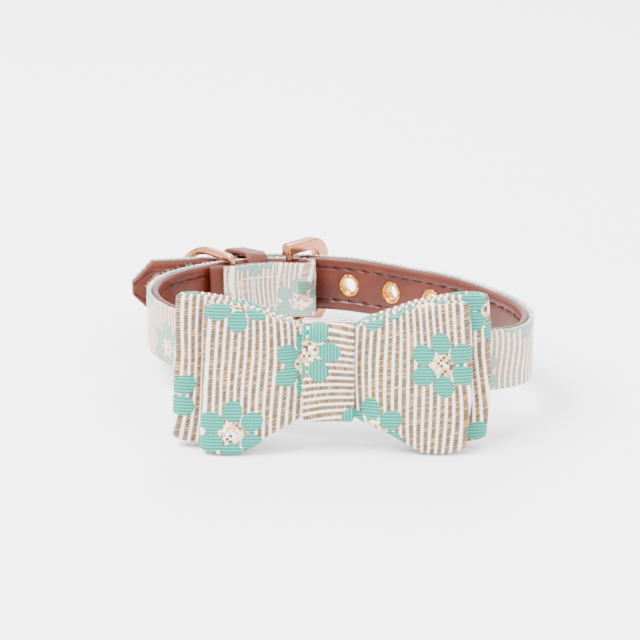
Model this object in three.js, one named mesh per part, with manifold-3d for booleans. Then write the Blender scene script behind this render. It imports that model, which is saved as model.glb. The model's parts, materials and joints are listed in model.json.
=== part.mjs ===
// A small pet collar with a two-layer bow: a woven, flowered face on a brown leather strap with
// rolled edges, fastened in its buckle. Millimetres.
//
// Everything is first built in the strap's own frame: +Z along the strap's width with z = 0 on its
// centre line, the neck opening round the origin, the bow towards -Y and the buckle towards +Y.
// The whole is then tilted and lifted until it stands on z = 0, on the bow's lower edge in front
// and on the buckle frame at the rear.
//
// Places on the strap are given as { u, v, z }: u runs along the outer face of the loop, from the
// buckle end's fold towards the left side, v points outwards from that face, and z along the width.

import * as THREE from 'three';
import { mergeVertices } from 'three/addons/utils/BufferGeometryUtils.js';
import Module from 'manifold-3d';

const wasm = await Module();
wasm.setup();

// Driving dimensions.
const clearance = 0.3; // between pieces that touch on the real collar

const strapWidth = 15;
const leatherThickness = 2.0;
const fabricThickness = 1.0;
const rolledEdgeWidth = 3.0; // the puffed borders of the leather
const stitchGroove = 0.5; // how far the stitching pulls the leather in
const foldThinning = 0.55; // share of the leather's thickness left at the buckle end's fold
const flapThinning = 0.7; // and in the folded-back flap
const flapThickening = 6; // length over which the flap regains its thickness
const strapThickening = 12; // and the buckle end

const flapLength = 30.7; // from the fold to the end of the folded-back leather
const flapFabricLength = 27;
const freeEndLength = 48; // from the fold to the pointed tip
const tipChamfer = 5.4;
const tipBluntness = 3.8; // height of the flat end of the point
const layGap = 0.5; // between the buckle end and the free end that lies on it
const liftStart = 34; // where the free end begins to leave the loop's outline, before the fold
const liftEnd = 5;
const straightStart = 11.8; // past the fold, the free end runs on straight

const eyeletCount = 5;
const eyeletSpacing = 13.9;
const eyeletHole = 4.2;
const eyeletWall = 0.4;
const eyeletRim = 6.2;
const eyeletRimHeight = 0.7;
const eyeletRounding = 0.3;
const eyeletSink = 0.4; // how deep the rim is pressed into the strap
const usedEyelet = 1.7; // u of the eyelet that the prong passes through

const barPlace = 3.8; // u of the bar, in the pocket behind the fold
const barDiameter = 2.0;
const frameHeight = 24.4;
const frameInside = 18.2;
const frameReach = 13.6; // bar axis to the middle of the outer end
const frameHeel = 1.6; // bar axis to the limbs' near ends
const frameEndWidth = 4.2;
const frameThickness = 3.0;
const frameBevel = 0.5;
const frameCorner = 6.5; // radius of the two outer corners
const openingCorner = 3.2;
const limbChamfer = 1.0; // of the near ends
const frameLean = 120; // degrees from the buckle end to the frame, at most
const prongDiameter = 1.5;
const prongLoopWidth = 3.8;
const prongLoopWall = 1.2;
const slotWidth = 4.8;
const slotInCloth = 0.5; // past the fold, in the flap's cloth

const keeperPlace = 14.5; // u of its middle
const keeperWidth = 5.8;
const keeperThickness = 1.2;
const keeperRoom = 1.0; // above and below the strap
const keeperSlack = 0.4; // over its clearance, on both sides of the strap
const keeperLean = 4.6; // how far its outer strand is pushed towards the tip
const keeperCorner = 1.6;

const dRingPlace = 22.7;
const dRingWire = 2.2;
const dRingReach = 18.5; // bar to the middle of the arc, on the wire's axis
const dRingBulge = 0.8; // how much wider the arc is than the bar, each side
const dRingCorner = 1.6;
const dRingAngle = 64; // degrees between the ring and the strap, at rest

const knotWidth = 12.4;
const knotCorner = 1.8;
const clothThickness = 1.1;
const bandRounding = 0.5; // of the long edges of cloth and leather bands, at most
const waistHalfHeight = 10.8; // of both bows, inside the knot
const bowOffset = -1.7; // of the knot from the middle of the neck opening
const wingDepth = 4.4; // front to back, over both walls
const wingSpread = 0.3; // share of the wing over which the two bows come apart
const wingSquareness = 18; // how tightly the cloth folds back at the wing's end
const bowWidthFront = 61.4;
const bowWidthBack = 73.2;
const bowLoopWidth = 9;
const bowLoopRoom = 0.5;
const bowLoopCorner = 1;

// Plan outline of the loop's outer face, as bearings round the middle of the neck opening and
// shares of loopReach. The first row is the place of the buckle end's fold.
const loopReach = 50;
const loopOutline = [
  { bearing: 101.4, reach: 0.762 },
  { bearing: 113, reach: 0.828 },
  { bearing: 134.5, reach: 0.916 },
  { bearing: 158, reach: 0.98 },
  { bearing: 175, reach: 0.976 },
  { bearing: 190, reach: 0.944 },
  { bearing: 205, reach: 0.898 },
  { bearing: 225, reach: 0.86 },
  { bearing: 247, reach: 0.84 },
  { bearing: 270, reach: 0.83 },
  { bearing: 292, reach: 0.898 },
  { bearing: 310, reach: 1.06 },
  { bearing: 322, reach: 1.152 },
  { bearing: 333, reach: 1.106 },
  { bearing: 345, reach: 1.004 },
  { bearing: 360, reach: 0.864 },
  { bearing: 385, reach: 0.732 },
  { bearing: 415, reach: 0.668 },
  { bearing: 438, reach: 0.684 },
];

// Half of a bow from the knot's edge outwards: how far its upper and lower edges have gone from the
// waist to the full height, and how far its two walls have parted, all as shares.
const wingProfile = [
  { out: 0, rise: 0, drop: 0, part: 0 },
  { out: 0.06, rise: 0.2, drop: 0.13, part: 0.2 },
  { out: 0.3, rise: 0.5, drop: 0.42, part: 0.7 },
  { out: 0.45, rise: 0.72, drop: 0.7, part: 0.9 },
  { out: 0.62, rise: 0.86, drop: 0.97, part: 1 },
  { out: 0.8, rise: 0.97, drop: 1, part: 0.98 },
  { out: 0.95, rise: 1, drop: 0.94, part: 0.9 },
  { out: 1, rise: 0.96, drop: 0.86, part: 0.8 },
];

// The two bows: full width, shift of the whole bow to the right, heights above and below the
// strap's centre line at the wings.
const bows = {
  front: { width: bowWidthFront, shift: 2.0, above: 17.3, below: 19.8 },
  back: { width: bowWidthBack, shift: 1.0, above: 18.3, below: 18.4 },
};

// Sizes that follow.
const strapThickness = leatherThickness + clearance + fabricThickness;
const barGap = barDiameter + 2 * clearance;
const dRingGap = dRingWire + 2 * clearance;
const keeperGap = keeperThickness + 2 * clearance + keeperSlack;
const eyeletBore = eyeletHole + 2 * eyeletWall + 2 * clearance;
const eyeletProud = eyeletRimHeight - eyeletSink - clearance / 2;
const slotLength = barPlace + barDiameter / 2 + prongLoopWall + 2 * clearance;
const barDepth = -strapThickness - barGap / 2; // v of the bar's axis

// Space between the flap and the buckle end: it opens round the bar, the keeper and the D-ring.
const flapGaps = [
  { u: 0, gap: barGap },
  { u: barPlace + barGap, gap: barGap },
  { u: keeperPlace - keeperWidth, gap: keeperGap },
  { u: keeperPlace + keeperWidth / 2, gap: keeperGap },
  { u: dRingPlace - dRingWire, gap: dRingGap },
  { u: dRingPlace + dRingWire, gap: dRingGap },
  { u: flapLength, gap: 2 * clearance },
];

// Small tools.
const rad = THREE.MathUtils.degToRad;
const lerp = THREE.MathUtils.lerp;
const up = new THREE.Vector3(0, 0, 1);

function smooth(x) {
  const t = THREE.MathUtils.clamp(x, 0, 1);
  return t * t * (3 - 2 * t);
}

// Reads column `value` of a table at `x` in column `key`, straight between the rows.
function readTable(rows, key, value, x) {
  const next = rows.findIndex((row) => x <= row[key]);
  if (next === 0) return rows[0][value];
  if (next < 0) return rows[rows.length - 1][value];
  const [low, high] = [rows[next - 1], rows[next]];
  return lerp(low[value], high[value], (x - low[key]) / (high[key] - low[key]));
}

function range(from, to, steps) {
  return Array.from({ length: steps + 1 }, (_, i) => lerp(from, to, i / steps));
}

// u of every eyelet's middle, negative before the fold.
const eyeletPlaces = range(usedEyelet + eyeletSpacing,
  usedEyelet - eyeletSpacing * (eyeletCount - 2), eyeletCount - 1);

// The loop's outer face as a closed curve, and a local frame at any distance u along it.
const outline = new THREE.CatmullRomCurve3(
  loopOutline.map(({ bearing, reach }) => new THREE.Vector3(
    loopReach * reach * Math.cos(rad(bearing)), loopReach * reach * Math.sin(rad(bearing)), 0)),
  true, 'centripetal');
outline.arcLengthDivisions = 1500;
const loopLength = outline.getLength();

function loopFrame(u) {
  const t = (((u / loopLength) % 1) + 1) % 1;
  const point = outline.getPointAt(t);
  const along = outline.getTangentAt(t);
  return { point, along, out: new THREE.Vector3(along.y, -along.x, 0) };
}

function place(u, v, z = 0) {
  const { point, out } = loopFrame(u);
  return point.addScaledVector(out, v).addScaledVector(up, z);
}

// A matrix whose X runs along the strap at u, Y outwards and Z up, with its origin at (u, v, 0).
function localMatrix(u, v) {
  const { along, out } = loopFrame(u);
  return new THREE.Matrix4().makeBasis(along, out, up).setPosition(place(u, v));
}

// A body from rings of points. Each ring has the same number of points, in order round the section.
// An open row of rings is closed by two end caps, cut into triangles after the flat outline `cap`.
function skin(rings, closed, cap) {
  const sides = rings[0].length;
  const positions = rings.flat().flatMap((p) => [p.x, p.y, p.z]);
  const index = [];
  const last = closed ? rings.length : rings.length - 1;
  for (let i = 0; i < last; i++) {
    const a = i * sides;
    const b = ((i + 1) % rings.length) * sides;
    for (let j = 0; j < sides; j++) {
      const k = (j + 1) % sides;
      index.push(a + j, a + k, b + k, a + j, b + k, b + j);
    }
  }
  if (!closed) {
    const end = (rings.length - 1) * sides;
    const turned = THREE.ShapeUtils.area(cap) < 0;
    for (const [a, p, q] of THREE.ShapeUtils.triangulateShape(cap, [])) {
      const [b, c] = turned ? [q, p] : [p, q];
      index.push(a, c, b, end + a, end + b, end + c);
    }
  }
  const geometry = new THREE.BufferGeometry();
  geometry.setAttribute('position', new THREE.Float32BufferAttribute(positions, 3));
  geometry.setIndex(index);
  return geometry;
}

// Turns a closed body's triangles round if they face inwards.
function facingOut(geometry) {
  const p = geometry.attributes.position;
  const index = geometry.index.array;
  const [a, b, c] = [new THREE.Vector3(), new THREE.Vector3(), new THREE.Vector3()];
  let volume = 0;
  for (let i = 0; i < index.length; i += 3) {
    a.fromBufferAttribute(p, index[i]);
    b.fromBufferAttribute(p, index[i + 1]);
    c.fromBufferAttribute(p, index[i + 2]);
    volume += a.dot(b.cross(c));
  }
  if (volume < 0) {
    for (let i = 0; i < index.length; i += 3) {
      [index[i + 1], index[i + 2]] = [index[i + 2], index[i + 1]];
    }
  }
  return geometry;
}

function toManifold(source) {
  const bare = source.clone();
  bare.deleteAttribute('normal');
  bare.deleteAttribute('uv');
  const merged = facingOut(mergeVertices(bare, 1e-4));
  return new wasm.Manifold(new wasm.Mesh({
    numProp: 3,
    vertProperties: new Float32Array(merged.attributes.position.array),
    triVerts: new Uint32Array(merged.index.array),
  }));
}

function fromManifold(solid) {
  const mesh = solid.getMesh();
  const geometry = new THREE.BufferGeometry();
  geometry.setAttribute('position', new THREE.BufferAttribute(new Float32Array(mesh.vertProperties), 3));
  geometry.setIndex(new THREE.BufferAttribute(new Uint32Array(mesh.triVerts), 1));
  return geometry;
}

function join(geometries) {
  return fromManifold(geometries.map(toManifold).reduce((all, one) => all.add(one)));
}

// A cylinder through the free end at u, from distance `from` to `to` off its inner face.
function pinAt(u, from, to, diameter) {
  return new THREE.CylinderGeometry(diameter / 2, diameter / 2, to - from, 16)
    .applyMatrix4(freeEndFrame(u, (from + to) / 2));
}

// A round wire along a list of points, closed on itself.
function closedWire(points, radius, sides, axis) {
  const rings = points.map((p, i) => {
    const before = points[(i + points.length - 1) % points.length];
    const after = points[(i + 1) % points.length];
    const side = after.clone().sub(before).normalize().cross(axis).normalize();
    return range(0, 2 * Math.PI, sides).slice(0, -1).map((angle) => p.clone()
      .addScaledVector(side, radius * Math.cos(angle))
      .addScaledVector(axis, radius * Math.sin(angle)));
  });
  return skin(rings, true);
}

// v of the free end's inner face, at u counted past the fold and negative before it.
function freeEndOffset(u) {
  return lerp(-strapThickness, layGap, smooth((u + liftStart) / (liftStart - liftEnd)));
}

function freeEndPoint(u) {
  if (u <= straightStart) return place(u, freeEndOffset(u));
  const start = place(straightStart, layGap);
  return start.addScaledVector(loopFrame(straightStart).along, u - straightStart);
}

// A matrix on the free end at u: Y outwards, Z up, origin at distance v from its inner face.
function freeEndFrame(u, v) {
  const step = 0.05;
  const along = freeEndPoint(u + step).sub(freeEndPoint(u - step)).normalize();
  const out = new THREE.Vector3(along.y, -along.x, 0);
  return new THREE.Matrix4().makeBasis(along, out, up)
    .setPosition(freeEndPoint(u).addScaledVector(out, v));
}

// The strap's route along its inner leather face, from the flap's end, round the fold, and once
// round the neck to the free end's tip. Each station has its place, the direction in which the
// cloth lies, half the strap's width there, the share of the leather's thickness that is left, and
// the length of strap from the fold, which is negative in the flap.
function strapRoute() {
  const stations = [];
  for (const u of range(flapLength, 0, 12)) {
    const thin = lerp(foldThinning, flapThinning, smooth(u / flapThickening));
    stations.push({ at: place(u, -strapThickness - readTable(flapGaps, 'u', 'gap', u)), thin, way: -u });
  }
  const pivot = place(0, barDepth);
  const { along, out } = loopFrame(0);
  for (const turn of range(0, Math.PI, 8).slice(1, -1)) {
    const at = pivot.clone()
      .addScaledVector(out, -Math.cos(turn) * barGap / 2)
      .addScaledVector(along, -Math.sin(turn) * barGap / 2);
    stations.push({ at, thin: foldThinning, way: 0 });
  }
  const tip = loopLength + freeEndLength;
  const stretches = [
    { from: 0, to: strapThickening, steps: 4 },
    { from: strapThickening, to: loopLength - liftStart, steps: 54 },
    { from: loopLength - liftStart, to: loopLength + straightStart, steps: 12 },
    { from: loopLength + straightStart, to: tip - tipChamfer, steps: 7 },
    { from: tip - tipChamfer, to: tip, steps: 2 },
  ];
  const ways = [0, ...stretches.flatMap(({ from, to, steps }) => range(from, to, steps).slice(1))];
  for (const way of ways) {
    const past = way - loopLength;
    const at = past < -liftStart ? place(way, -strapThickness) : freeEndPoint(past);
    stations.push({ at, thin: lerp(foldThinning, 1, smooth(way / strapThickening)), way });
  }
  stations.forEach((station, i) => {
    const before = stations[Math.max(i - 1, 0)].at;
    const after = stations[Math.min(i + 1, stations.length - 1)].at;
    const heading = after.clone().sub(before).normalize();
    station.out = new THREE.Vector3(heading.y, -heading.x, 0);
    // the tip narrows to its blunt end over the length of its chamfers
    const left = (tip - station.way) / tipChamfer;
    station.half = lerp(tipBluntness / 2, strapWidth / 2, Math.min(left, 1));
  });
  return stations;
}

const route = strapRoute();

// Half of the leather's section from the outer face round the rolled edge to the middle: z as a
// share of the half width measured back from the edge, n as a share of the thickness.
const edge = strapWidth / 2;
const grooveAt = 1 - rolledEdgeWidth / edge;
const leatherSection = [
  { z: 0.94, n: 1 },
  { z: 1, n: 0.75 },
  { z: 1, n: 0.3 },
  { z: 0.93, n: 0.05 },
  { z: 0.8, n: 0 },
  { z: (0.8 + grooveAt) / 2, n: 0.06 },
  { z: grooveAt, n: stitchGroove / leatherThickness },
  { z: grooveAt - 0.06, n: stitchGroove / leatherThickness - 0.1 },
];
const fabricSection = [
  { z: 1, n: 0.25 },
  { z: 0.99, n: 0.7 },
  { z: 0.93, n: 1 },
];

// Both halves of a section as one ring of { z, n }.
function wholeSection(half) {
  return [...half, ...half.toReversed().map(({ z, n }) => ({ z: -z, n }))];
}

function strapBody(section, stations, innerFace, thickness) {
  const ring = wholeSection(section);
  const rings = stations.map((s) => ring.map(({ z, n }) => s.at.clone()
    .addScaledVector(s.out, innerFace(s) + thickness(s) * n)
    .addScaledVector(up, z * s.half)));
  return skin(rings, false, ring.map(({ z, n }) => new THREE.Vector2(z * edge, n)));
}

// The eyelets' holes, with a seat for the rim on both faces.
function eyeletCuts() {
  const seat = eyeletRim + 2 * clearance;
  return eyeletPlaces.flatMap((u) => [
    pinAt(u, -strapThickness, 2 * strapThickness, eyeletBore),
    pinAt(u, -strapThickness, eyeletSink, seat),
    pinAt(u, strapThickness - eyeletSink, 2 * strapThickness, seat),
  ]);
}

// The prong's slot: round the fold, on into the buckle end, and as far as `inFlap` into the flap. The
// two boxes lap over each other by a hair at the bar.
function slotCuts(inFlap) {
  const reach = 3 * strapThickness;
  const lap = 0.001;
  const box = (length, shiftOut) => new THREE.BoxGeometry(reach + length, reach, slotWidth)
    .translate((length - reach) / 2, shiftOut, 0)
    .applyMatrix4(localMatrix(0, barDepth));
  return [box(slotLength, reach / 2 - lap), box(inFlap, -reach / 2)];
}

// The space that the free end takes up, from where it leaves the loop's outline.
function freeEndSpace() {
  const inner = -clearance / 2;
  const outer = strapThickness * 1.3;
  const corners = [[inner, -1], [outer, -1], [outer, 1], [inner, 1]];
  const from = eyeletPlaces[eyeletCount - 1] - eyeletRim;
  const stations = range(from, freeEndLength, 48).map((u) => corners.map(([v, side]) =>
    new THREE.Vector3(0, v, side * strapWidth).applyMatrix4(freeEndFrame(u, 0))));
  return skin(stations, false, corners.map(([v, side]) => new THREE.Vector2(v, side)));
}

// Cuts the slot into everything but the free end, and the eyelets' holes into the free end alone.
function cutStrap(geometry, inFlap) {
  const freeEnd = toManifold(freeEndSpace());
  const tools = [
    ...slotCuts(inFlap).map((tool) => toManifold(tool).subtract(freeEnd)),
    ...eyeletCuts().map((tool) => toManifold(tool).intersect(freeEnd)),
  ];
  return fromManifold(tools.reduce((solid, tool) => solid.subtract(tool), toManifold(geometry)));
}

function liningGeometry() {
  const body = strapBody(leatherSection, route, () => 0, (s) => leatherThickness * s.thin);
  return cutStrap(body, slotLength);
}

function fabricGeometry() {
  const stations = route.filter((s) => s.way > -flapFabricLength);
  const body = strapBody(fabricSection, stations,
    (s) => leatherThickness * s.thin + clearance, () => fabricThickness);
  return cutStrap(body, slotInCloth);
}

// An eyelet: a barrel with a rolled rim on both faces of the strap.
function eyeletGeometry(u) {
  const bore = eyeletHole / 2;
  const barrel = bore + eyeletWall;
  const rim = eyeletRim / 2;
  const low = -eyeletProud;
  const high = strapThickness + eyeletProud;
  const seat = eyeletSink - clearance;
  const rounding = eyeletRounding;
  const profile = [
    [bore, low + rounding], [bore + rounding, low], [rim - rounding, low], [rim, seat],
    [barrel, seat], [barrel, strapThickness - seat], [rim, strapThickness - seat],
    [rim - rounding, high], [bore + rounding, high], [bore, high - rounding], [bore, low + rounding],
  ].map(([r, y]) => new THREE.Vector2(r, y));
  const lathe = new THREE.LatheGeometry(profile, 12);
  lathe.deleteAttribute('normal');
  lathe.deleteAttribute('uv');
  return mergeVertices(lathe, 1e-4).applyMatrix4(freeEndFrame(u, 0));
}

// The buckle. Its frame stands out from the strap and leans back over the free end that comes in,
// as far as the layers between the bar and the outer end allow.
const frameStack = barGap / 2 + strapThickness + layGap + strapThickness + eyeletProud + clearance;

// The most that it can lean with the outer end's near corner clear of those layers.
function mostFrameAngle() {
  const near = frameReach - frameEndWidth / 2;
  const upright = Math.PI / 2;
  return range(rad(frameLean), upright, frameLean).find((angle) =>
    near * Math.sin(angle) + frameThickness / 2 * Math.cos(angle) >= frameStack) ?? upright;
}
const frameAngle = mostFrameAngle();

// Maps a plate drawn in X (reach from the bar) and Y (height) onto the buckle, swung out by angle.
function swungMatrix(u, v, angle) {
  const { along, out } = loopFrame(u);
  const reachAxis = along.clone().multiplyScalar(Math.cos(angle)).addScaledVector(out, Math.sin(angle));
  return new THREE.Matrix4().makeBasis(reachAxis, up, reachAxis.clone().cross(up))
    .setPosition(place(u, v));
}

function frameGeometry() {
  const half = frameHeight / 2;
  const far = frameReach + frameEndWidth / 2;
  const corner = (x, y, radius, steps) => range(Math.PI / 2, 0, steps).map((angle) => [
    x - radius * (1 - Math.cos(angle)), y - radius * (1 - Math.sin(angle))]);
  // upper half of the outline and of the opening, from the bar outwards; the opening runs out past
  // the limbs' near ends, where the bar alone joins them
  const outer = [
    [-frameHeel, half - limbChamfer], [limbChamfer - frameHeel, half],
    ...corner(far, half, frameCorner, 5),
  ];
  const inner = [
    [-2 * frameHeel, frameInside / 2],
    ...corner(frameReach - frameEndWidth / 2, frameInside / 2, openingCorner, 3),
  ];
  const mirrored = (points) => new THREE.Shape(
    [...points, ...points.toReversed().map(([x, y]) => [x, -y])].map(([x, y]) => new THREE.Vector2(x, y)));
  const plate = new THREE.ExtrudeGeometry(mirrored(outer), {
    depth: frameThickness - 2 * frameBevel, bevelThickness: frameBevel, bevelSize: frameBevel,
    bevelOffset: -frameBevel, bevelSegments: 1, steps: 1,
  }).translate(0, 0, -frameThickness / 2 + frameBevel);
  const opening = new THREE.ExtrudeGeometry(mirrored(inner), {
    depth: 2 * frameThickness, bevelEnabled: false,
  }).translate(0, 0, -frameThickness);
  const limbs = fromManifold(toManifold(plate).subtract(toManifold(opening)));
  const bar = new THREE.CylinderGeometry(barDiameter / 2, barDiameter / 2,
    (frameInside + frameHeight) / 2, 14);
  return join([limbs, bar]).applyMatrix4(swungMatrix(barPlace, barDepth, frameAngle));
}

// The prong: a loop round the bar and a shank that goes out through the used eyelet and leans on
// the frame's outer end. It is drawn with X along the frame's reach and Y away from its outer face.
function prongGeometry() {
  const r = prongDiameter / 2;
  const inner = barDiameter / 2 + clearance;
  const outer = inner + prongLoopWall;
  const shoulder = lerp(inner, outer, 0.75);
  const half = prongLoopWidth / 2;
  const section = [
    [inner, -half], [shoulder, -half], [outer, -half / 2], [outer, half / 2], [shoulder, half],
    [inner, half], [inner, -half],
  ].map(([x, y]) => new THREE.Vector2(x, y));
  const loop = new THREE.LatheGeometry(section, 16).rotateX(Math.PI / 2);
  // it leaves the loop from inside its wall and bends to lie along the outer end
  const beside = -frameThickness / 2 - r - clearance;
  const near = frameReach - frameEndWidth / 2 - clearance;
  const root = inner + clearance;
  const shank = new THREE.CatmullRomCurve3([
    [root, beside * root / near], [near / 2, beside / 2], [near, beside],
    [frameReach + frameEndWidth / 2, beside],
  ].map(([x, y]) => new THREE.Vector3(x, y, 0)), false, 'centripetal');
  const round = new THREE.Shape();
  round.absarc(0, 0, r, 0, 2 * Math.PI, false);
  const rod = new THREE.ExtrudeGeometry(round, { steps: 12, curveSegments: 5, extrudePath: shank });
  return join([loop, rod]).rotateZ(frameAngle).applyMatrix4(localMatrix(barPlace, barDepth));
}

// The D-ring: a straight bar between flap and buckle end, its arc outside the free end.
function dRingGeometry() {
  const half = strapWidth / 2 + clearance + dRingWire / 2;
  const wide = half + dRingBulge;
  const arcCentre = dRingReach - wide;
  const straight = half - dRingCorner;
  // one half, from the middle of the bar to the middle of the arc
  const upper = [
    [0, 0], [0, straight],
    ...range(0, Math.PI / 2, 3).slice(1).map((t) => [
      dRingCorner * (1 - Math.cos(t)), straight + dRingCorner * Math.sin(t)]),
    [arcCentre / 2, (half + wide) / 2],
    ...range(Math.PI / 2, 0, 6).map((t) => [arcCentre + wide * Math.cos(t), wide * Math.sin(t)]),
  ];
  const points = [...upper, ...upper.slice(1, -1).toReversed().map(([x, y]) => [x, -y])];
  return closedWire(points.map(([x, y]) => new THREE.Vector3(x, y, 0)), dRingWire / 2, 8, up)
    .applyMatrix4(swungMatrix(dRingPlace, -strapThickness - dRingGap / 2, rad(dRingAngle)));
}

// A flat band that closes on itself: `path` gives its middle line in two axes, `edges` its two long
// edges on the third axis at each point, and `toSpace` places both. The long edges are rounded off.
function bandGeometry(path, thickness, edges, toSpace) {
  const rings = path.map((p, i) => {
    const before = path[(i + path.length - 1) % path.length];
    const after = path[(i + 1) % path.length];
    const heading = new THREE.Vector2().subVectors(after, before).normalize();
    const side = new THREE.Vector2(heading.y, -heading.x);
    const { low, high } = edges(p, i);
    const round = Math.min(thickness / 2, bandRounding);
    const section = [
      [-0.5, high - round], [-0.2, high], [0.2, high], [0.5, high - round],
      [0.5, low + round], [0.2, low], [-0.2, low], [-0.5, low + round],
    ];
    return section.map(([n, w]) => toSpace(p.clone().addScaledVector(side, n * thickness), w));
  });
  return skin(rings, true);
}

// Points of a rectangle with rounded corners, centred on (0, 0).
function roundedRectangle(halfX, halfY, radius) {
  return [[1, 1, 0], [-1, 1, 90], [-1, -1, 180], [1, -1, 270]].flatMap(([sx, sy, start]) =>
    range(start, start + 90, 3).map((angle) => new THREE.Vector2(
      sx * (halfX - radius) + radius * Math.cos(rad(angle)),
      sy * (halfY - radius) + radius * Math.sin(rad(angle)))));
}

function keeperGeometry() {
  const inside = -strapThickness - keeperGap / 2;
  const outside = layGap + strapThickness + clearance + keeperSlack + keeperThickness / 2;
  const middle = (inside + outside) / 2;
  const halfOut = (outside - inside) / 2;
  const halfUp = strapWidth / 2 + keeperRoom + keeperThickness / 2;
  const path = roundedRectangle(halfOut, halfUp, keeperCorner);
  const frame = localMatrix(keeperPlace, middle);
  const lean = (p) => keeperLean * smooth((p.x + halfOut) / (2 * halfOut));
  return bandGeometry(path, keeperThickness, (p) => ({
    low: -keeperWidth / 2 + lean(p), high: keeperWidth / 2 + lean(p),
  }), (p, w) => new THREE.Vector3(w, p.x, p.y).applyMatrix4(frame));
}

// y of the loop's outer face in front, at a given x.
function frontFace(x) {
  const near = range(loopLength * 0.3, loopLength * 0.75, 400).map((u) => place(u, 0));
  near.sort((a, b) => Math.abs(a.x - x) - Math.abs(b.x - x));
  return near[0].y;
}

// The bow. Distances forward from the strap's front face, layer on layer.
const bowAt = frontFace(bowOffset);
const loopFront = bowLoopRoom + clothThickness;
const knotBack = loopFront + clearance + clothThickness;
const waistDepth = 2 * clothThickness + clearance;
const backWaist = knotBack + clearance + waistDepth / 2;
const frontWaist = backWaist + waistDepth + clearance;
const knotFront = frontWaist + waistDepth / 2 + clearance + clothThickness;

function bowGeometry({ width, shift, above, below }, waist, wing) {
  // out along each wall from the knot's edge to the wing's end, closer together near the end
  const outs = range(0, Math.PI / 2, 17).map(Math.sin);
  const wall = (side, front) => outs.map((out) => ({ side, front, out }));
  const stations = [
    ...wall(1, 1), ...wall(1, -1).toReversed().slice(1),
    ...wall(-1, -1), ...wall(-1, 1).toReversed().slice(1),
  ];
  const path = stations.map(({ side, front, out }) => {
    const x = side * lerp(knotWidth / 2 + clearance, width / 2 + side * shift, out);
    const parted = readTable(wingProfile, 'out', 'part', out);
    const halfGap = lerp((clothThickness + clearance) / 2, (wingDepth - clothThickness) / 2, parted)
      * Math.sqrt(1 - out ** wingSquareness);
    const middle = lerp(waist, wing, smooth(out / wingSpread));
    return new THREE.Vector2(x, -middle - front * halfGap);
  });
  const edges = (p, i) => {
    const share = (column) => readTable(wingProfile, 'out', column, stations[i].out);
    return {
      low: -lerp(waistHalfHeight, below, share('drop')),
      high: lerp(waistHalfHeight, above, share('rise')),
    };
  };
  return bandGeometry(path, clothThickness, edges,
    (p, w) => new THREE.Vector3(bowOffset + p.x, bowAt + p.y, w));
}

function knotGeometry() {
  const halfDeep = (knotFront - knotBack) / 2;
  const halfUp = waistHalfHeight + clearance + clothThickness / 2;
  const path = roundedRectangle(halfDeep, halfUp, knotCorner);
  const middle = (knotFront + knotBack - clothThickness) / 2;
  return bandGeometry(path, clothThickness, () => ({ low: -knotWidth / 2, high: knotWidth / 2 }),
    (p, w) => new THREE.Vector3(bowOffset + w, bowAt - middle + p.x, p.y));
}

function bowLoopGeometry() {
  const inside = strapThickness + bowLoopRoom + clothThickness / 2;
  const outside = bowLoopRoom + clothThickness / 2;
  const path = roundedRectangle((inside + outside) / 2,
    strapWidth / 2 + clearance + clothThickness / 2, bowLoopCorner);
  return bandGeometry(path, clothThickness, () => ({ low: -bowLoopWidth / 2, high: bowLoopWidth / 2 }),
    (p, w) => new THREE.Vector3(bowOffset + w, bowAt + (inside - outside) / 2 + p.x, p.y));
}

// Materials.
const leather = { color: 0x7a3418, roughness: 0.5, metalness: 0 };
const cloth = { color: 0xd8cdbb, roughness: 0.85, metalness: 0 };
const roseGold = { color: 0xd9b39a, roughness: 0.2, metalness: 1 };
const yellowGold = { color: 0xd6a04a, roughness: 0.25, metalness: 1 };

const collar = new THREE.Group();

function add(name, geometry, look) {
  const mesh = new THREE.Mesh(facingOut(geometry), new THREE.MeshStandardMaterial(look));
  mesh.name = name;
  collar.add(mesh);
  return mesh;
}

add('collar_lining', liningGeometry(), leather);
add('collar_fabric', fabricGeometry(), cloth);
eyeletPlaces.forEach((u, i) => add(`eyelet_${i + 1}`, eyeletGeometry(u), yellowGold));
const buckle = add('buckle_frame', frameGeometry(), roseGold);
add('buckle_prong', prongGeometry(), yellowGold);
add('d_ring', dRingGeometry(), roseGold);
add('keeper_loop', keeperGeometry(), leather);
const wingOut = wingDepth / 2 + clearance / 2;
const parting = (backWaist + frontWaist) / 2;
const frontBow = add('bow_front', bowGeometry(bows.front, frontWaist, parting + wingOut), cloth);
add('bow_back', bowGeometry(bows.back, backWaist, parting - wingOut), cloth);
add('bow_knot', knotGeometry(), cloth);
add('bow_loop', bowLoopGeometry(), cloth);

// The stand: tilt the collar back until its two supports are level, and set them on z = 0.
function lowest(mesh, tilt) {
  const p = mesh.geometry.attributes.position;
  let low = Infinity;
  for (let i = 0; i < p.count; i++) {
    low = Math.min(low, p.getZ(i) * Math.cos(tilt) + p.getY(i) * Math.sin(tilt));
  }
  return low;
}

let [leastTilt, mostTilt] = [rad(-30), rad(30)];
for (let i = 0; i < 40; i++) {
  const tilt = (leastTilt + mostTilt) / 2;
  if (lowest(buckle, tilt) > lowest(frontBow, tilt)) mostTilt = tilt;
  else leastTilt = tilt;
}
collar.rotation.x = mostTilt;
collar.updateMatrixWorld(true);
const box = new THREE.Box3().setFromObject(collar, true);
const centre = box.getCenter(new THREE.Vector3());
collar.position.set(-centre.x, -centre.y, -box.min.z);

export default collar;
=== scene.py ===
import json
import math

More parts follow.
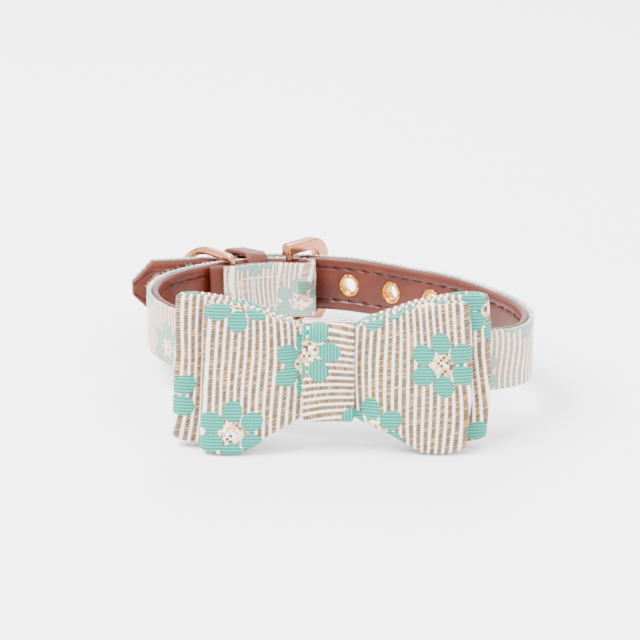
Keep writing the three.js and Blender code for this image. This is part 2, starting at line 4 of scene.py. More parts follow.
import bmesh
import bpy
import numpy as np
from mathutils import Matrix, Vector

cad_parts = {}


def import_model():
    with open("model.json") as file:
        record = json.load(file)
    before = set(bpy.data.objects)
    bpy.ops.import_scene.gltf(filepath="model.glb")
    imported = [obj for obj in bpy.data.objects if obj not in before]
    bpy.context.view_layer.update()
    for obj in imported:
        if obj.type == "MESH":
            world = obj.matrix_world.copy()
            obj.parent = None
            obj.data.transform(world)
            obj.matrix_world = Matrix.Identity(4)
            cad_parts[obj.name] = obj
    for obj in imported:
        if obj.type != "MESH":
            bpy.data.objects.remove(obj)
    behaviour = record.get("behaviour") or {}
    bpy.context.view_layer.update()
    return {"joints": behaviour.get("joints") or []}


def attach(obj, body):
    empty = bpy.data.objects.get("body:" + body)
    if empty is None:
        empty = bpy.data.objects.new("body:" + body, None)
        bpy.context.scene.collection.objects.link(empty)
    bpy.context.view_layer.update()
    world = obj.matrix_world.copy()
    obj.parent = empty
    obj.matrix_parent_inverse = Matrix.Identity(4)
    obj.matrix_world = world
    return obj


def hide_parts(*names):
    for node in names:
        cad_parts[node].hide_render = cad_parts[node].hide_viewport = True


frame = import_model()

# Sizes in millimetres, the same as the solid model's. u runs along the loop's outer face from the
# buckle end's fold towards the left side, v outwards from that face, z along the strap's width.
CLEAR = 0.3
STRAP_WIDTH, LEATHER, FABRIC = 15.0, 2.0, 1.0
ROLLED_EDGE = 3.0
FOLD_THIN, FLAP_THIN, FLAP_THICKENING, STRAP_THICKENING = 0.55, 0.7, 6.0, 12.0
FLAP, FLAP_FABRIC, FREE_END = 30.7, 27.0, 48.0
TIP_CHAMFER, TIP_BLUNT = 5.4, 3.8
LAY_GAP, LIFT_START, LIFT_END, STRAIGHT = 0.5, 34.0, 5.0, 11.8
EYELETS, EYELET_SPACING, EYELET_HOLE, EYELET_WALL, EYELET_RIM = 5, 13.9, 4.2, 0.4, 6.2
EYELET_SINK, EYELET_PROUD, USED_EYELET = 0.4, 0.15, 1.7
BAR_PLACE, BAR, FRAME_HEIGHT, FRAME_INSIDE, FRAME_REACH = 3.8, 2.0, 24.4, 18.2, 13.6
FRAME_END, FRAME_HEEL, FRAME_THICK, FRAME_CORNER, OPENING_CORNER = 4.2, 1.6, 3.0, 6.5, 3.2
LIMB_CHAMFER, FRAME_LEAN = 1.0, 120
PRONG, PRONG_LOOP, PRONG_WALL, SLOT_WIDTH, SLOT_IN_CLOTH = 1.5, 3.8, 1.2, 4.8, 0.5
KEEPER_PLACE, KEEPER_WIDTH, KEEPER_THICK, KEEPER_ROOM = 14.5, 5.8, 1.2, 1.0
KEEPER_SLACK, KEEPER_LEAN, KEEPER_CORNER = 0.4, 4.6, 1.6
RING_PLACE, RING_WIRE, RING_REACH, RING_BULGE, RING_CORNER, RING_ANGLE = 22.7, 2.2, 18.5, 0.8, 1.6, 64.0
KNOT_WIDTH, KNOT_CORNER, CLOTH, WAIST = 12.4, 1.8, 1.1, 10.8
BOW_OFFSET, WING_DEPTH, WING_SPREAD, WING_SQUARE = -1.7, 4.4, 0.3, 18
BOW_LOOP_WIDTH, BOW_LOOP_ROOM, BOW_LOOP_CORNER = 9.0, 0.5, 1.0
STRAP_THICK = LEATHER + CLEAR + FABRIC
BAR_GAP = BAR + 2 * CLEAR
RING_GAP = RING_WIRE + 2 * CLEAR
KEEPER_GAP = KEEPER_THICK + 2 * CLEAR + KEEPER_SLACK
BAR_DEPTH = -STRAP_THICK - BAR_GAP / 2
SLOT_LENGTH = BAR_PLACE + BAR / 2 + PRONG_WALL + 2 * CLEAR

# The loop's outline: bearing in degrees, and the share of LOOP_REACH there
LOOP_REACH = 50.0
OUTLINE = (
    (101.4, 0.762), (113, 0.828), (134.5, 0.916), (158, 0.98), (175, 0.976), (190, 0.944), (205, 0.898),
    (225, 0.86), (247, 0.84), (270, 0.83), (292, 0.898), (310, 1.06), (322, 1.152), (333, 1.106),
    (345, 1.004), (360, 0.864), (385, 0.732), (415, 0.668), (438, 0.684),
)
# A wing from the knot's edge to its tip: share of the way out, how far its upper and its lower
# edge have spread, and how far its front and back have parted
WING = np.array((
    (0, 0, 0, 0), (0.06, 0.2, 0.13, 0.2), (0.3, 0.5, 0.42, 0.7), (0.45, 0.72, 0.7, 0.9),
    (0.62, 0.86, 0.97, 1), (0.8, 0.97, 1, 0.98), (0.95, 1, 0.94, 0.9), (1, 0.96, 0.86, 0.8),
))
BOWS = {
    "front": dict(width=61.4, shift=2.0, above=17.3, below=19.8),
    "back": dict(width=73.2, shift=1.0, above=18.3, below=18.4),
}

# Half widths of the leather's and the cloth's flat faces, and the radius of the cloth's turned edge
INNER_FLAT, CLOTH_FLAT, CLOTH_TURN = 6.2, 7.15, 0.35
SEAM_GROOVE = STRAP_WIDTH / 2 - ROLLED_EDGE
SEAM_PITCH, SEAM_STITCH, SEAM_THREAD = 4.4, 3.0, 0.22
FIBRES, FIBRE_SEED = 520, 7
# A wing's ribbon is folded double and puffs up to this thickness. The pleats run out of the knot
# to a share of the wing, and the belly hangs between the wing's edges.
PUFF, PLEAT_DEPTH, PLEAT_REACH, BELLY_DEPTH = 1.9, 0.336, 0.42, 0.24

# The weave: pitch of the cords on the bow and on the strap, the shares of the pitch that half a
# cord and half a braid take, and the flowers' lattice
BOW_PITCH, STRAP_PITCH = 1.66, 1.36
HALF_CORD, HALF_BRAID, BRAID_MIDDLE = 0.22, 0.28, 0.72
CORD_PROUD, BRAID_PROUD, PETAL_PROUD, WEAVE_LEVEL = 0.2, 0.09, 0.16, 0.1
FLOWER_STEP, PETAL_REACH, PETAL_LONG, PETAL_WIDE = 16.2, 5.25, 2.65, 2.35
PETALS, NO_FLOWER = 6, 9.0

# The middle of one flower: way and z on the buckle's half of the strap and on the free end's
# half, x and z from the knot's middle on the left and the right wing, and across and along the
# knot's band from the middle of its front
STRAP_FLOWERS = ((25.5, -3.1), (212.0, -2.8))
BOW_FLOWERS = {"front": ((-5.5, 2.1), (26.6, 2.5)), "back": ((-38.1, -6.3), (39.3, 14.4))}
KNOT_FLOWER = (-4.9, -5.2)

# The photograph: its width and the camera's focal length in pixels, and how many pixels the
# middle of the picture lies above the point that the elevation aims at
PHOTO, FOCAL, AIM_DROP = 640, 2050, 36.5
ELEVATION, CAMERA_AT, SENSOR = 21.0, (-0.0006, -0.497, 0.1969), 36

UP = np.array([0.0, 0.0, 1.0])


def smooth(x):
    t = np.clip(x, 0, 1)
    return t * t * (3 - 2 * t)


def round_steps(count):
    return np.linspace(0, 2 * math.pi, count, endpoint=False)


def lerp(a, b, t):
    return a + (b - a) * t


def unit(v):
    return v / np.maximum(np.linalg.norm(v, axis=-1, keepdims=True), 1e-12)


def right_of(heading):
    return np.stack([heading[..., 1], -heading[..., 0]], -1)


def outward_of(path):
    """The direction to the right of a closed path, at each of its points."""
    return right_of(unit(np.roll(path, -1, 0) - np.roll(path, 1, 0)))


def level(p):
    """A point or direction of the strap's plan, at z = 0."""
    return np.append(p, 0.0)


def curve_part(p0, p1, p2, p3, t):
    """Points of a smooth curve from p1 to p2, at the shares t."""
    d0, d1, d2 = (max(np.linalg.norm(b - a), 1e-9) ** 0.5 for a, b in ((p0, p1), (p1, p2), (p2, p3)))
    m1 = ((p1 - p0) / d0 - (p2 - p0) / (d0 + d1) + (p2 - p1) / d1) * d1
    m2 = ((p2 - p1) / d1 - (p3 - p1) / (d1 + d2) + (p3 - p2) / d2) * d1
    return p1 + m1 * t + (3 * (p2 - p1) - 2 * m1 - m2) * t**2 + (2 * (p1 - p2) + m1 + m2) * t**3


# The strap's route, as in the solid model
def closed_curve(points, per=160):
    n = len(points)
    t = np.linspace(0, 1, per, endpoint=False)[:, None]
    return np.concatenate([curve_part(*(points[(i + k - 1) % n] for k in range(4)), t) for i in range(n)])


bearings = np.radians([row[0] for row in OUTLINE])
reaches = LOOP_REACH * np.array([row[1] for row in OUTLINE])
dense = closed_curve(np.stack([reaches * np.cos(bearings), reaches * np.sin(bearings)], -1))
dense = np.vstack([dense, dense[:1]])
lengths = np.concatenate([[0], np.cumsum(np.linalg.norm(np.diff(dense, axis=0), axis=1))])
LOOP = lengths[-1]


def loop_point(u):
    u = np.mod(np.asarray(u, float), LOOP)
    return np.stack([np.interp(u, lengths, dense[:, k]) for k in (0, 1)], -1)


def loop_dirs(u):
    u = np.asarray(u, float)
    along = unit(loop_point(u + 0.3) - loop_point(u - 0.3))
    return along, right_of(along)


def place(u, v):
    return loop_point(u) + loop_dirs(u)[1] * np.asarray(v, float)[..., None]


def free_end_point(u):
    u = np.asarray(u, float)
    offset = lerp(-STRAP_THICK, LAY_GAP, smooth((u + LIFT_START) / (LIFT_START - LIFT_END)))
    lain = place(np.minimum(u, STRAIGHT), offset)
    along, _ = loop_dirs(STRAIGHT)
    return lain + along * np.maximum(u - STRAIGHT, 0)[..., None]


def free_end_dirs(u):
    along = unit(free_end_point(np.asarray(u) + 0.05) - free_end_point(np.asarray(u) - 0.05))
    return along, right_of(along)


joint = frame["joints"][0]
TILT = math.atan2(joint["axis"][1], -joint["axis"][2])


def turned(p):
    p = np.asarray(p, float)
    c, s = math.cos(TILT), math.sin(TILT)
    return np.stack([p[..., 0], p[..., 1] * c - p[..., 2] * s, p[..., 1] * s + p[..., 2] * c], -1)


STANDING = turned(UP)
ring_bar = level(place(RING_PLACE, -STRAP_THICK - RING_GAP / 2))
ORIGIN = np.array(joint["pos_m"]) * 1000 - turned(ring_bar)


def world(p):
    """Millimetres in the strap's frame to metres in the row's frame."""
    return (turned(p) + ORIGIN) / 1000


def spaced(a, b, step):
    return np.linspace(a, b, max(2, round(abs(b - a) / step) + 1))


FLAP_GAPS = np.array((
    (0, BAR_GAP), (BAR_PLACE + BAR_GAP, BAR_GAP), (KEEPER_PLACE - KEEPER_WIDTH, KEEPER_GAP),
    (KEEPER_PLACE + KEEPER_WIDTH / 2, KEEPER_GAP), (RING_PLACE - RING_WIRE, RING_GAP),
    (RING_PLACE + RING_WIRE, RING_GAP), (FLAP, 2 * CLEAR),
))


def strap_route(step):
    """Stations along the strap's inner face: place, outward direction, half width, thinning, way."""
    flap = spaced(FLAP, 0, step)
    at = [place(flap, -STRAP_THICK - np.interp(flap, FLAP_GAPS[:, 0], FLAP_GAPS[:, 1]))]
    thin = [lerp(FOLD_THIN, FLAP_THIN, smooth(flap / FLAP_THICKENING))]
    way = [-flap]
    turn = np.linspace(0, math.pi, max(9, round(math.pi * BAR_GAP / 2 / step)))[1:-1]
    pivot = place(0.0, BAR_DEPTH)
    along, out = loop_dirs(0.0)
    cos, sin = np.cos(turn)[:, None], np.sin(turn)[:, None]
    at.append(pivot - (out * cos + along * sin) * BAR_GAP / 2)
    thin.append(np.full(len(turn), FOLD_THIN))
    way.append(np.linspace(0, 0.02, len(turn)))
    ways = spaced(0.03, LOOP + FREE_END, step)
    past = ways - LOOP
    on_loop = place(ways, np.full(len(ways), -STRAP_THICK))
    at.append(np.where((past < -LIFT_START)[:, None], on_loop, free_end_point(past)))
    thin.append(lerp(FOLD_THIN, 1, smooth(ways / STRAP_THICKENING)))
    way.append(ways)
    at, thin, way = np.concatenate(at), np.concatenate(thin), np.concatenate(way)
    heading = unit(np.gradient(at, axis=0))
    out = right_of(heading)
    left = (LOOP + FREE_END - way) / TIP_CHAMFER
    half = lerp(TIP_BLUNT / 2, STRAP_WIDTH / 2, np.minimum(left, 1))
    laid = np.concatenate([[0], np.cumsum(np.linalg.norm(np.diff(at, axis=0), axis=1))])
    return dict(at=at, out=out, half=half, thin=thin, way=way, laid=laid)


# Meshes
def new_piece(name, points, faces):
    mesh = bpy.data.meshes.new(name)
    mesh.from_pydata(points.tolist(), [], faces)
    mesh.polygons.foreach_set("use_smooth", np.ones(len(faces), bool))
    mesh.update()
    piece = bpy.data.objects.new(name, mesh)
    bpy.context.scene.collection.objects.link(piece)
    return piece


def grid(name, points, wrap, attributes=None):
    """A closed body from rings of points (rows, columns round the section, 3), in metres."""
    rows, cols = points.shape[:2]
    index = np.arange(rows * cols).reshape(rows, cols)
    a, b = index, np.roll(index, -1, 1)
    quads = np.stack([a, b, np.roll(b, -1, 0), np.roll(a, -1, 0)], -1)
    quads = (quads if wrap else quads[:-1]).reshape(-1, 4)
    flat = points.reshape(-1, 3)
    middle = flat - flat.mean(0)
    p, q, r, s = (middle[quads[:, k]] for k in range(4))
    turned_in = (np.cross(p, q) * r).sum() + (np.cross(p, r) * s).sum() < 0
    faces = (quads[:, ::-1] if turned_in else quads).tolist()
    if not wrap:
        for ring, flip in ((index[0], not turned_in), (index[-1], turned_in)):
            faces.append((ring[::-1] if flip else ring).tolist())
    piece = new_piece(name, flat, faces)
    for key, values in (attributes or {}).items():
        values = np.asarray(values, np.float32).reshape(rows * cols, -1)
        kind, field = ("FLOAT_VECTOR", "vector") if values.shape[1] == 3 else ("FLOAT", "value")
        piece.data.attributes.new(key, kind, "POINT").data.foreach_set(field, values.ravel())
    return piece


def merged(name, parts):
    """Several (vertices, faces) joined in one smooth mesh."""
    verts, faces, start = [], [], 0
    for v, f in parts:
        verts.append(np.asarray(v))
        faces += [[i + start for i in face] for face in f]
        start += len(v)
    return new_piece(name, np.concatenate(verts), faces)


def tube_faces(rings, sides, wrap):
    faces = []
    for i in range(rings if wrap else rings - 1):
        a, b = i * sides, (i + 1) % rings * sides
        faces += [[a + j, b + j, b + (j + 1) % sides, a + (j + 1) % sides] for j in range(sides)]
    return faces


def tube_part(path, radius, sides, axis):
    """(vertices, faces) of a closed tube. radius may vary along the path."""
    path = np.asarray(path, float)
    radius = np.broadcast_to(radius, len(path))
    heading = unit(np.gradient(path, axis=0))
    side = unit(np.cross(heading, np.broadcast_to(axis, path.shape)))
    lift = np.cross(side, heading)
    angle = round_steps(sides)
    rings = path[:, None] + radius[:, None, None] * (
        side[:, None] * np.cos(angle)[None, :, None] + lift[:, None] * np.sin(angle)[None, :, None])
    faces = tube_faces(len(path), sides, False)
    faces += [list(range(sides)), [(len(path) - 1) * sides + j for j in reversed(range(sides))]]
    return rings.reshape(-1, 3), faces


def cut_out(piece, cutters):
    """Cuts each cutter's shape out of a piece."""
    for cutter in cutters:
        boolean = piece.modifiers.new("cut", "BOOLEAN")
        boolean.operation, boolean.object, boolean.solver = "DIFFERENCE", cutter, "MANIFOLD"
        bpy.context.view_layer.objects.active = piece
        with bpy.context.temp_override(object=piece, active_object=piece):
            bpy.ops.object.modifier_apply(modifier=boolean.name)
    piece.data.polygons.foreach_set("use_smooth", np.ones(len(piece.data.polygons), bool))


# The flowers
def flowers(s, t, centre):
    """Signed distance to the nearest petal, and distance from the nearest flower's middle, in mm
    of the bow's weave. Flowers stand in a quincunx; one petal points along the cords."""
    x, y = s - centre[0], t - centre[1]
    petal = np.full(np.shape(x), NO_FLOWER)
    middle = petal
    for half in (0, 1):
        shift, span = half * FLOWER_STEP, 2 * FLOWER_STEP
        dx, dy = (v - np.round((v - shift) / span) * span - shift for v in (x, y))
        middle = np.minimum(middle, np.hypot(dx, dy))
        for k in range(PETALS):
            angle = math.radians(360 * (k + 0.5) / PETALS)
            c, si = math.cos(angle), math.sin(angle)
            a, b = dx * c + dy * si - PETAL_REACH, -dx * si + dy * c
            r = np.hypot(a / PETAL_LONG, b / PETAL_WIDE)
            petal = np.minimum(petal, (r - 1) * PETAL_WIDE)
    return petal, middle


def cord_height(number, petal):
    """How far the weave stands out, in mm: round cords with lower braid between them."""
    f = np.mod(number, 1)
    cord, braid = (np.sqrt(np.clip(1 - ((f - middle) / half) ** 2, 0, 1))
                   for middle, half in ((HALF_CORD, HALF_CORD), (BRAID_MIDDLE, HALF_BRAID)))
    inside = 1 - smooth((petal + 0.15) / 0.3)
    return lerp(np.maximum(CORD_PROUD * cord, BRAID_PROUD * braid), PETAL_PROUD, inside)


# Materials
class Shader:
    """A material with one Principled shader, and short calls for the nodes before it."""

    def __init__(self, name, **values):
        self.material = bpy.data.materials.new(name)
        self.material.use_nodes = True
        self.tree = self.material.node_tree
        self.main = self.tree.nodes["Principled BSDF"]
        for key, value in values.items():
            self.main.inputs[key.replace("_", " ")].default_value = value

    def node(self, kind):
        return self.tree.nodes.new("ShaderNode" + kind)

    def link(self, source, socket):
        if hasattr(source, "is_linked"):
            self.tree.links.new(source, socket)
        else:
            socket.default_value = source

    def math(self, operation, a, b=None):
        node = self.node("Math")
        node.operation = operation
        for value, socket in zip((a, b), node.inputs):
            if value is not None:
                self.link(value, socket)
        return node.outputs[0]

    def add(self, a, b):
        return self.math("ADD", a, b)

    def mul(self, a, b):
        return self.math("MULTIPLY", a, b)

    def less(self, share):
        """What is left of 1."""
        return self.math("SUBTRACT", 1.0, share)

    def step(self, x, low, high):
        node = self.node("MapRange")
        node.interpolation_type = "SMOOTHSTEP"
        self.link(x, node.inputs["Value"])
        node.inputs["From Min"].default_value, node.inputs["From Max"].default_value = low, high
        return node.outputs["Result"]

    def mix(self, share, a, b):
        node = self.node("Mix")
        node.data_type = "RGBA"
        self.link(share, node.inputs[0])
        for value, socket in ((a, node.inputs[6]), (b, node.inputs[7])):
            self.link(value if hasattr(value, "is_linked") else (*value, 1), socket)
        return node.outputs[2]

    def attribute(self, name, output):
        node = self.node("Attribute")
        node.attribute_name = name
        return node.outputs[output]

    def parts(self, vector):
        node = self.node("SeparateXYZ")
        self.link(vector, node.inputs[0])
        return node.outputs

    def vector(self, x, y, z=0.0):
        node = self.node("CombineXYZ")
        for value, socket in zip((x, y, z), node.inputs):
            self.link(value, socket)
        return node.outputs[0]

    def texture(self, kind, vector, output, **values):
        node = self.node("Tex" + kind)
        self.link(vector, node.inputs["Vector"])
        for key, value in values.items():
            node.inputs[key].default_value = value
        return node.outputs[output]

    def noise(self, vector, scale, detail=2.0, rough=0.5):
        return self.texture("Noise", vector, 0, Scale=scale, Detail=detail, Roughness=rough)

    def random(self, vector):
        return self.texture("WhiteNoise", vector, "Value")

    def cells(self, vector, scale):
        return self.texture("Voronoi", vector, "Distance", Scale=scale)

    def object_mm(self):
        node = self.node("TexCoord")
        scale = self.node("VectorMath")
        scale.operation = "SCALE"
        self.link(node.outputs["Object"], scale.inputs[0])
        scale.inputs["Scale"].default_value = 1000
        return scale.outputs[0]

    def colour(self, source):
        self.link(source, self.main.inputs["Base Color"])

    def bump(self, height, distance_mm, strength=1.0):
        node = self.node("Bump")
        node.inputs["Strength"].default_value = strength
        node.inputs["Distance"].default_value = distance_mm / 1000
        self.link(height, node.inputs["Height"])
        self.link(node.outputs[0], self.main.inputs["Normal"])


def weave_material(name, dark, wash):
    """White cords and gold braid with turquoise flowers. The attribute weave holds the cord's
    number, the place along the cords and the distance to the nearest petal, and bloom the
    distance to the nearest flower's middle. dark is how many dark flecks the braid has, partly
    dark thread and partly painted shade in its hollows, and wash how far the colours have faded."""
    m = Shader(name, Roughness=0.6, Specular_IOR_Level=0.3, Sheen_Weight=0.1)
    number, along, petal = m.parts(m.attribute("weave", "Vector"))
    centre = m.attribute("bloom", "Fac")
    flat = m.vector(number, along)
    number = m.add(number, m.mul(m.add(m.noise(flat, 0.5), -0.5), 0.12))
    f = m.math("FRACT", number)
    line = m.math("FLOOR", number)
    g = m.math("ABSOLUTE", m.mul(m.add(f, -HALF_CORD), 1 / HALF_CORD))
    white = m.less(m.step(g, 0.72, 1.0))
    # twisted cord, with painted shade that greys the twist's hollows
    twist = m.math("SINE", m.mul(m.add(m.mul(along, 1 / 0.55), m.mul(f, 1.8)), 2 * math.pi))
    # grey where the twist dips, white on its crests: painted shade
    cord = m.mix(m.step(twist, -1.0, 0.2), (0.4, 0.37, 0.33), (0.9, 0.88, 0.85))
    # braid with slanting dark flecks, denser at mid height; the flecks sit in the braid's hollows and are
    # partly dark thread, partly painted shade
    slant = m.add(m.mul(along, 1 / 0.62), m.mul(f, -1.1))
    fleck = m.math("SINE", m.mul(slant, 2 * math.pi))
    chance = m.random(m.vector(line, m.math("FLOOR", slant), 0.5))
    patchy = m.add(chance, m.mul(m.add(m.noise(flat, 0.13, 1.0), -0.5), 1.6))
    beside = m.math("ABSOLUTE", m.mul(m.add(f, -BRAID_MIDDLE), 1 / HALF_BRAID))
    across = m.less(m.step(beside, 0.6, 1.0))
    fleck_thread_and_shade = m.mul(m.mul(m.step(fleck, -0.25, 0.4), across), m.step(patchy, 0.5 - dark, 0.9 - dark))
    tone = m.random(m.vector(line, m.math("FLOOR", m.mul(slant, 2.0)), 3.5))
    braid = m.mix(tone, (0.15, 0.085, 0.035), (0.3, 0.23, 0.15))
    braid = m.mix(m.step(tone, 0.7, 0.9), braid, (0.6, 0.31, 0.07))
    # near-black flecks in the braid's hollows: partly dark thread, partly painted shade
    braid = m.mix(fleck_thread_and_shade, braid, (0.016, 0.008, 0.004))
    base = m.mix(white, braid, cord)
    # flowers: mottled middle, ribbed petals with painted shade in the ribs' hollows
    square = [m.math("FLOOR", m.mul(*pair)) for pair in ((number, 2.3), (along, 1.5))]
    cell = m.random(m.vector(*square, 1.5))
    speck = m.mix(m.step(cell, 0.3, 0.55), (0.6, 0.36, 0.13), (0.8, 0.74, 0.64))
    speck = m.mix(m.step(cell, 0.78, 0.86), speck, (0.05, 0.035, 0.02))
    base = m.mix(m.less(m.step(centre, 2.2, 3.0)), base, speck)
    ragged = m.mul(m.add(m.noise(flat, 1.6, 1.0), -0.5), 0.5)
    inside = m.less(m.step(m.add(petal, ragged), -0.06, 0.12))
    ripple = m.mul(m.math("SINE", m.mul(number, 4 * math.pi)), 0.13)
    rib = m.math("SINE", m.mul(m.add(m.mul(along, 1 / 0.78), ripple), 2 * math.pi))
    # petal colour lighter on the rib crests and darker in their hollows: painted shade
    teal_with_rib_shade = m.mix(m.step(rib, -0.55, 0.85), (0.003, 0.13, 0.09), (0.03, 0.36, 0.27))
    teal_with_rib_shade = m.mix(m.mul(m.noise(flat, 1.1, 2.0), 0.3), teal_with_rib_shade, (0.004, 0.19, 0.14))
    base = m.mix(inside, base, teal_with_rib_shade)
    if wash:
        base = m.mix(wash, base, (0.8, 0.66, 0.57))
    m.colour(base)
    round_cord = m.math("SQRT", m.math("MAXIMUM", m.less(m.mul(g, g)), 0.0))
    height = m.mul(white, m.add(m.mul(round_cord, 0.7), m.mul(twist, 0.13)))
    low = m.mul(m.less(white), m.add(0.25, m.mul(fleck, -0.2)))
    height = m.add(height, low)
    raised = m.add(0.75, m.mul(rib, 0.3))
    height = m.add(m.mul(height, m.less(inside)), m.mul(raised, inside))
    m.bump(height, 0.28, 0.9)
    return m.material


def leather_material(name, base, light, rough):
    m = Shader(name, Roughness=rough, Specular_IOR_Level=0.3, Coat_Weight=0.08, Coat_Roughness=0.3)
    at = m.object_mm()
    cloud = m.noise(at, 0.14, 3.0)
    fine = m.noise(at, 1.1, 3.0, 0.6)
    tone = m.mix(m.step(cloud, 0.3, 0.72), base, light)
    m.colour(m.mix(m.mul(m.step(fine, 0.45, 0.8), 0.35), tone, tuple(0.62 * c for c in base)))
    grain = m.cells(at, 3.2)
    pull = m.noise(at, 0.5, 4.0, 0.62)
    m.bump(m.add(m.mul(grain, 0.35), m.mul(pull, 1.2)), 0.1, 0.55)
    m.link(m.add(rough - 0.1, m.mul(fine, 0.22)), m.main.inputs["Roughness"])
    return m.material


def metal_material(name, colour, dull, rough):
    m = Shader(name, Metallic=1.0)
    at = m.object_mm()
    wear = m.noise(at, 0.35, 3.0)
    m.colour(m.mix(m.step(wear, 0.42, 0.75), colour, dull))
    scratch = m.noise(at, 6.0, 2.0)
    m.link(m.add(rough, m.mul(scratch, 0.1)), m.main.inputs["Roughness"])
    m.bump(m.noise(at, 0.9, 2.0), 0.03, 0.25)
    return m.material


def thread_material(name, colour, dark):
    m = Shader(name, Roughness=0.7, Specular_IOR_Level=0.3)
    at = m.object_mm()
    m.colour(m.mix(m.step(m.noise(at, 4.0, 2.0), 0.4, 0.7), colour, dark))
    m.bump(m.noise(at, 7.0, 2.0), 0.06, 0.5)
    return m.material


# Colours are linear, and darker than they look under the bright studio light
bow_weave = weave_material("bow_weave", 0.62, 0.0)
strap_weave = weave_material("strap_weave", 0.4, 0.22)
leather = leather_material("saddle_leather", (0.055, 0.007, 0.002), (0.085, 0.0125, 0.004), 0.36)
worn_leather = leather_material("keeper_leather", (0.07, 0.011, 0.0035), (0.105, 0.019, 0.007), 0.42)
rose_gold = metal_material("rose_gold", (0.46, 0.2, 0.11), (0.38, 0.155, 0.08), 0.18)
yellow_gold = metal_material("yellow_gold", (0.56, 0.25, 0.035), (0.46, 0.19, 0.025), 0.18)
dark_thread = thread_material("dark_thread", (0.016, 0.005, 0.003), (0.008, 0.003, 0.002))
pale_thread = thread_material("pale_thread", (0.75, 0.6, 0.5), (0.55, 0.42, 0.34))
fibre = thread_material("fibre", (0.85, 0.8, 0.74), (0.78, 0.68, 0.6))


def dress(piece, material, slot, body, *nodes):
    piece.data.materials.clear()
    piece.data.materials.append(material)
    if nodes:
        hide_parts(*nodes)
    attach(piece, body)
    return piece


# The strap
def strap_points(route, section):
    """section: z and depth in mm, each an array of shape (stations, columns)."""
    z, n = section
    at = route["at"][:, None] + route["out"][:, None] * n[..., None]
    return world(np.concatenate([at, (z * np.ones_like(n))[..., None]], -1))


def leather_piece():
    route = strap_route(0.42)
    half, thin, laid = (route[k][:, None] for k in ("half", "thin", "laid"))
    edge = STRAP_WIDTH / 2
    # inner face from the lower to the upper roll, then round the edge and back behind the cloth
    face = np.linspace(-INNER_FLAT, INNER_FLAT, 47)
    off = np.abs(face) - SEAM_GROOVE
    depth = 0.5 * np.exp(-(off / 0.42) ** 2) + 0.26 * (1 - smooth((off + 0.9) / 0.9))
    depth += 0.1 * np.clip((np.abs(face) - 6.0) / 1.2, 0, 1)
    stitch = 0.5 + 0.5 * np.cos(2 * math.pi * laid / SEAM_PITCH)
    near = np.exp(-(off / 0.6) ** 2)
    ripple = 0.1 * np.sin(laid * 1.9 + 2.2 * np.sin(laid * 0.37)) * near
    inner = depth * (0.85 + 0.3 * stitch * near) + ripple
    roll = np.linspace(0, math.pi, 12)[1:-1]
    rz = INNER_FLAT + (edge - INNER_FLAT) * np.sin(roll)
    rn = (1 - np.cos(roll)) / 2
    n_rows = len(half)
    one = np.ones((n_rows, 1))
    z = one * np.concatenate([face, rz, [5.0, -5.0], -rz[::-1]]) / edge
    thick = LEATHER * thin
    upper, lower = ((r * one) * (thick - 0.05) + 0.04 for r in (rn, rn[::-1]))
    n = np.concatenate([inner * thin, upper, thick, thick, lower], 1)
    return grid("strap_leather", strap_points(route, (z * half, n)), False)


def fabric_piece():
    route = strap_route(0.225)
    keep = route["way"] > -FLAP_FABRIC
    route = {k: v[keep] for k, v in route.items()}
    half, thin, laid, way = (route[k][:, None] for k in ("half", "thin", "laid", "way"))
    edge = STRAP_WIDTH / 2
    face = np.linspace(-CLOTH_FLAT, CLOTH_FLAT, 25)
    bend = np.radians([25, 55, 85])
    ez = CLOTH_FLAT + CLOTH_TURN * np.sin(bend)
    en = -0.4 * (1 - np.cos(bend))
    one = np.ones((len(laid), 1))
    z = one * np.concatenate([face, ez, [7.4, -7.4], -ez[::-1]])
    past = CLOTH_FLAT + np.array([0.2, 0.45, 0.7, 0.75])
    t = np.concatenate([face, past, -past[::-1]])
    scale = STRAP_PITCH / BOW_PITCH
    number = (laid + 0.35 * np.sin(z * 0.35 + laid * 0.05)) / STRAP_PITCH
    across = t[None] / scale
    near, far = STRAP_FLOWERS
    flower = [np.where(way < LOOP * 0.5, a, b) / scale for a, b in zip(near, far)]
    petal, bloom = flowers(laid / scale, across, flower)
    top = np.concatenate([np.full(len(face), FABRIC), FABRIC + en, [0.0, 0.0], (FABRIC + en)[::-1]])
    outer = np.concatenate([np.ones(len(face)), np.cos(bend), [0.0, 0.0], np.cos(bend)[::-1]])
    height = cord_height(number, petal)
    n = LEATHER * thin + CLEAR + top - 0.1 + (height - 0.12) * outer
    fray = np.abs(z) > 7.2
    z = z + np.sign(z) * fray * (0.9 * height - 0.12 + 0.08 * np.sin(laid * 3.7 + z))
    z = z / edge * half
    points = strap_points(route, (z, n))
    weave = np.stack([number * np.ones_like(z), across * np.ones_like(z), petal], -1)
    return grid("strap_weave_face", points, False, {"weave": weave, "bloom": bloom})


def holes():
    """The eyelets' holes through the free end."""
    parts = []
    for u in eyelet_places():
        out = free_end_dirs(u)[1]
        steps = np.array([-0.4, STRAP_THICK + 0.9])
        line = world(level(free_end_point(u)) + level(out) * steps[:, None])
        parts.append(tube_part(line, (EYELET_HOLE / 2 + EYELET_WALL) / 1000, 32, STANDING))
    return merged("cut_holes", parts)


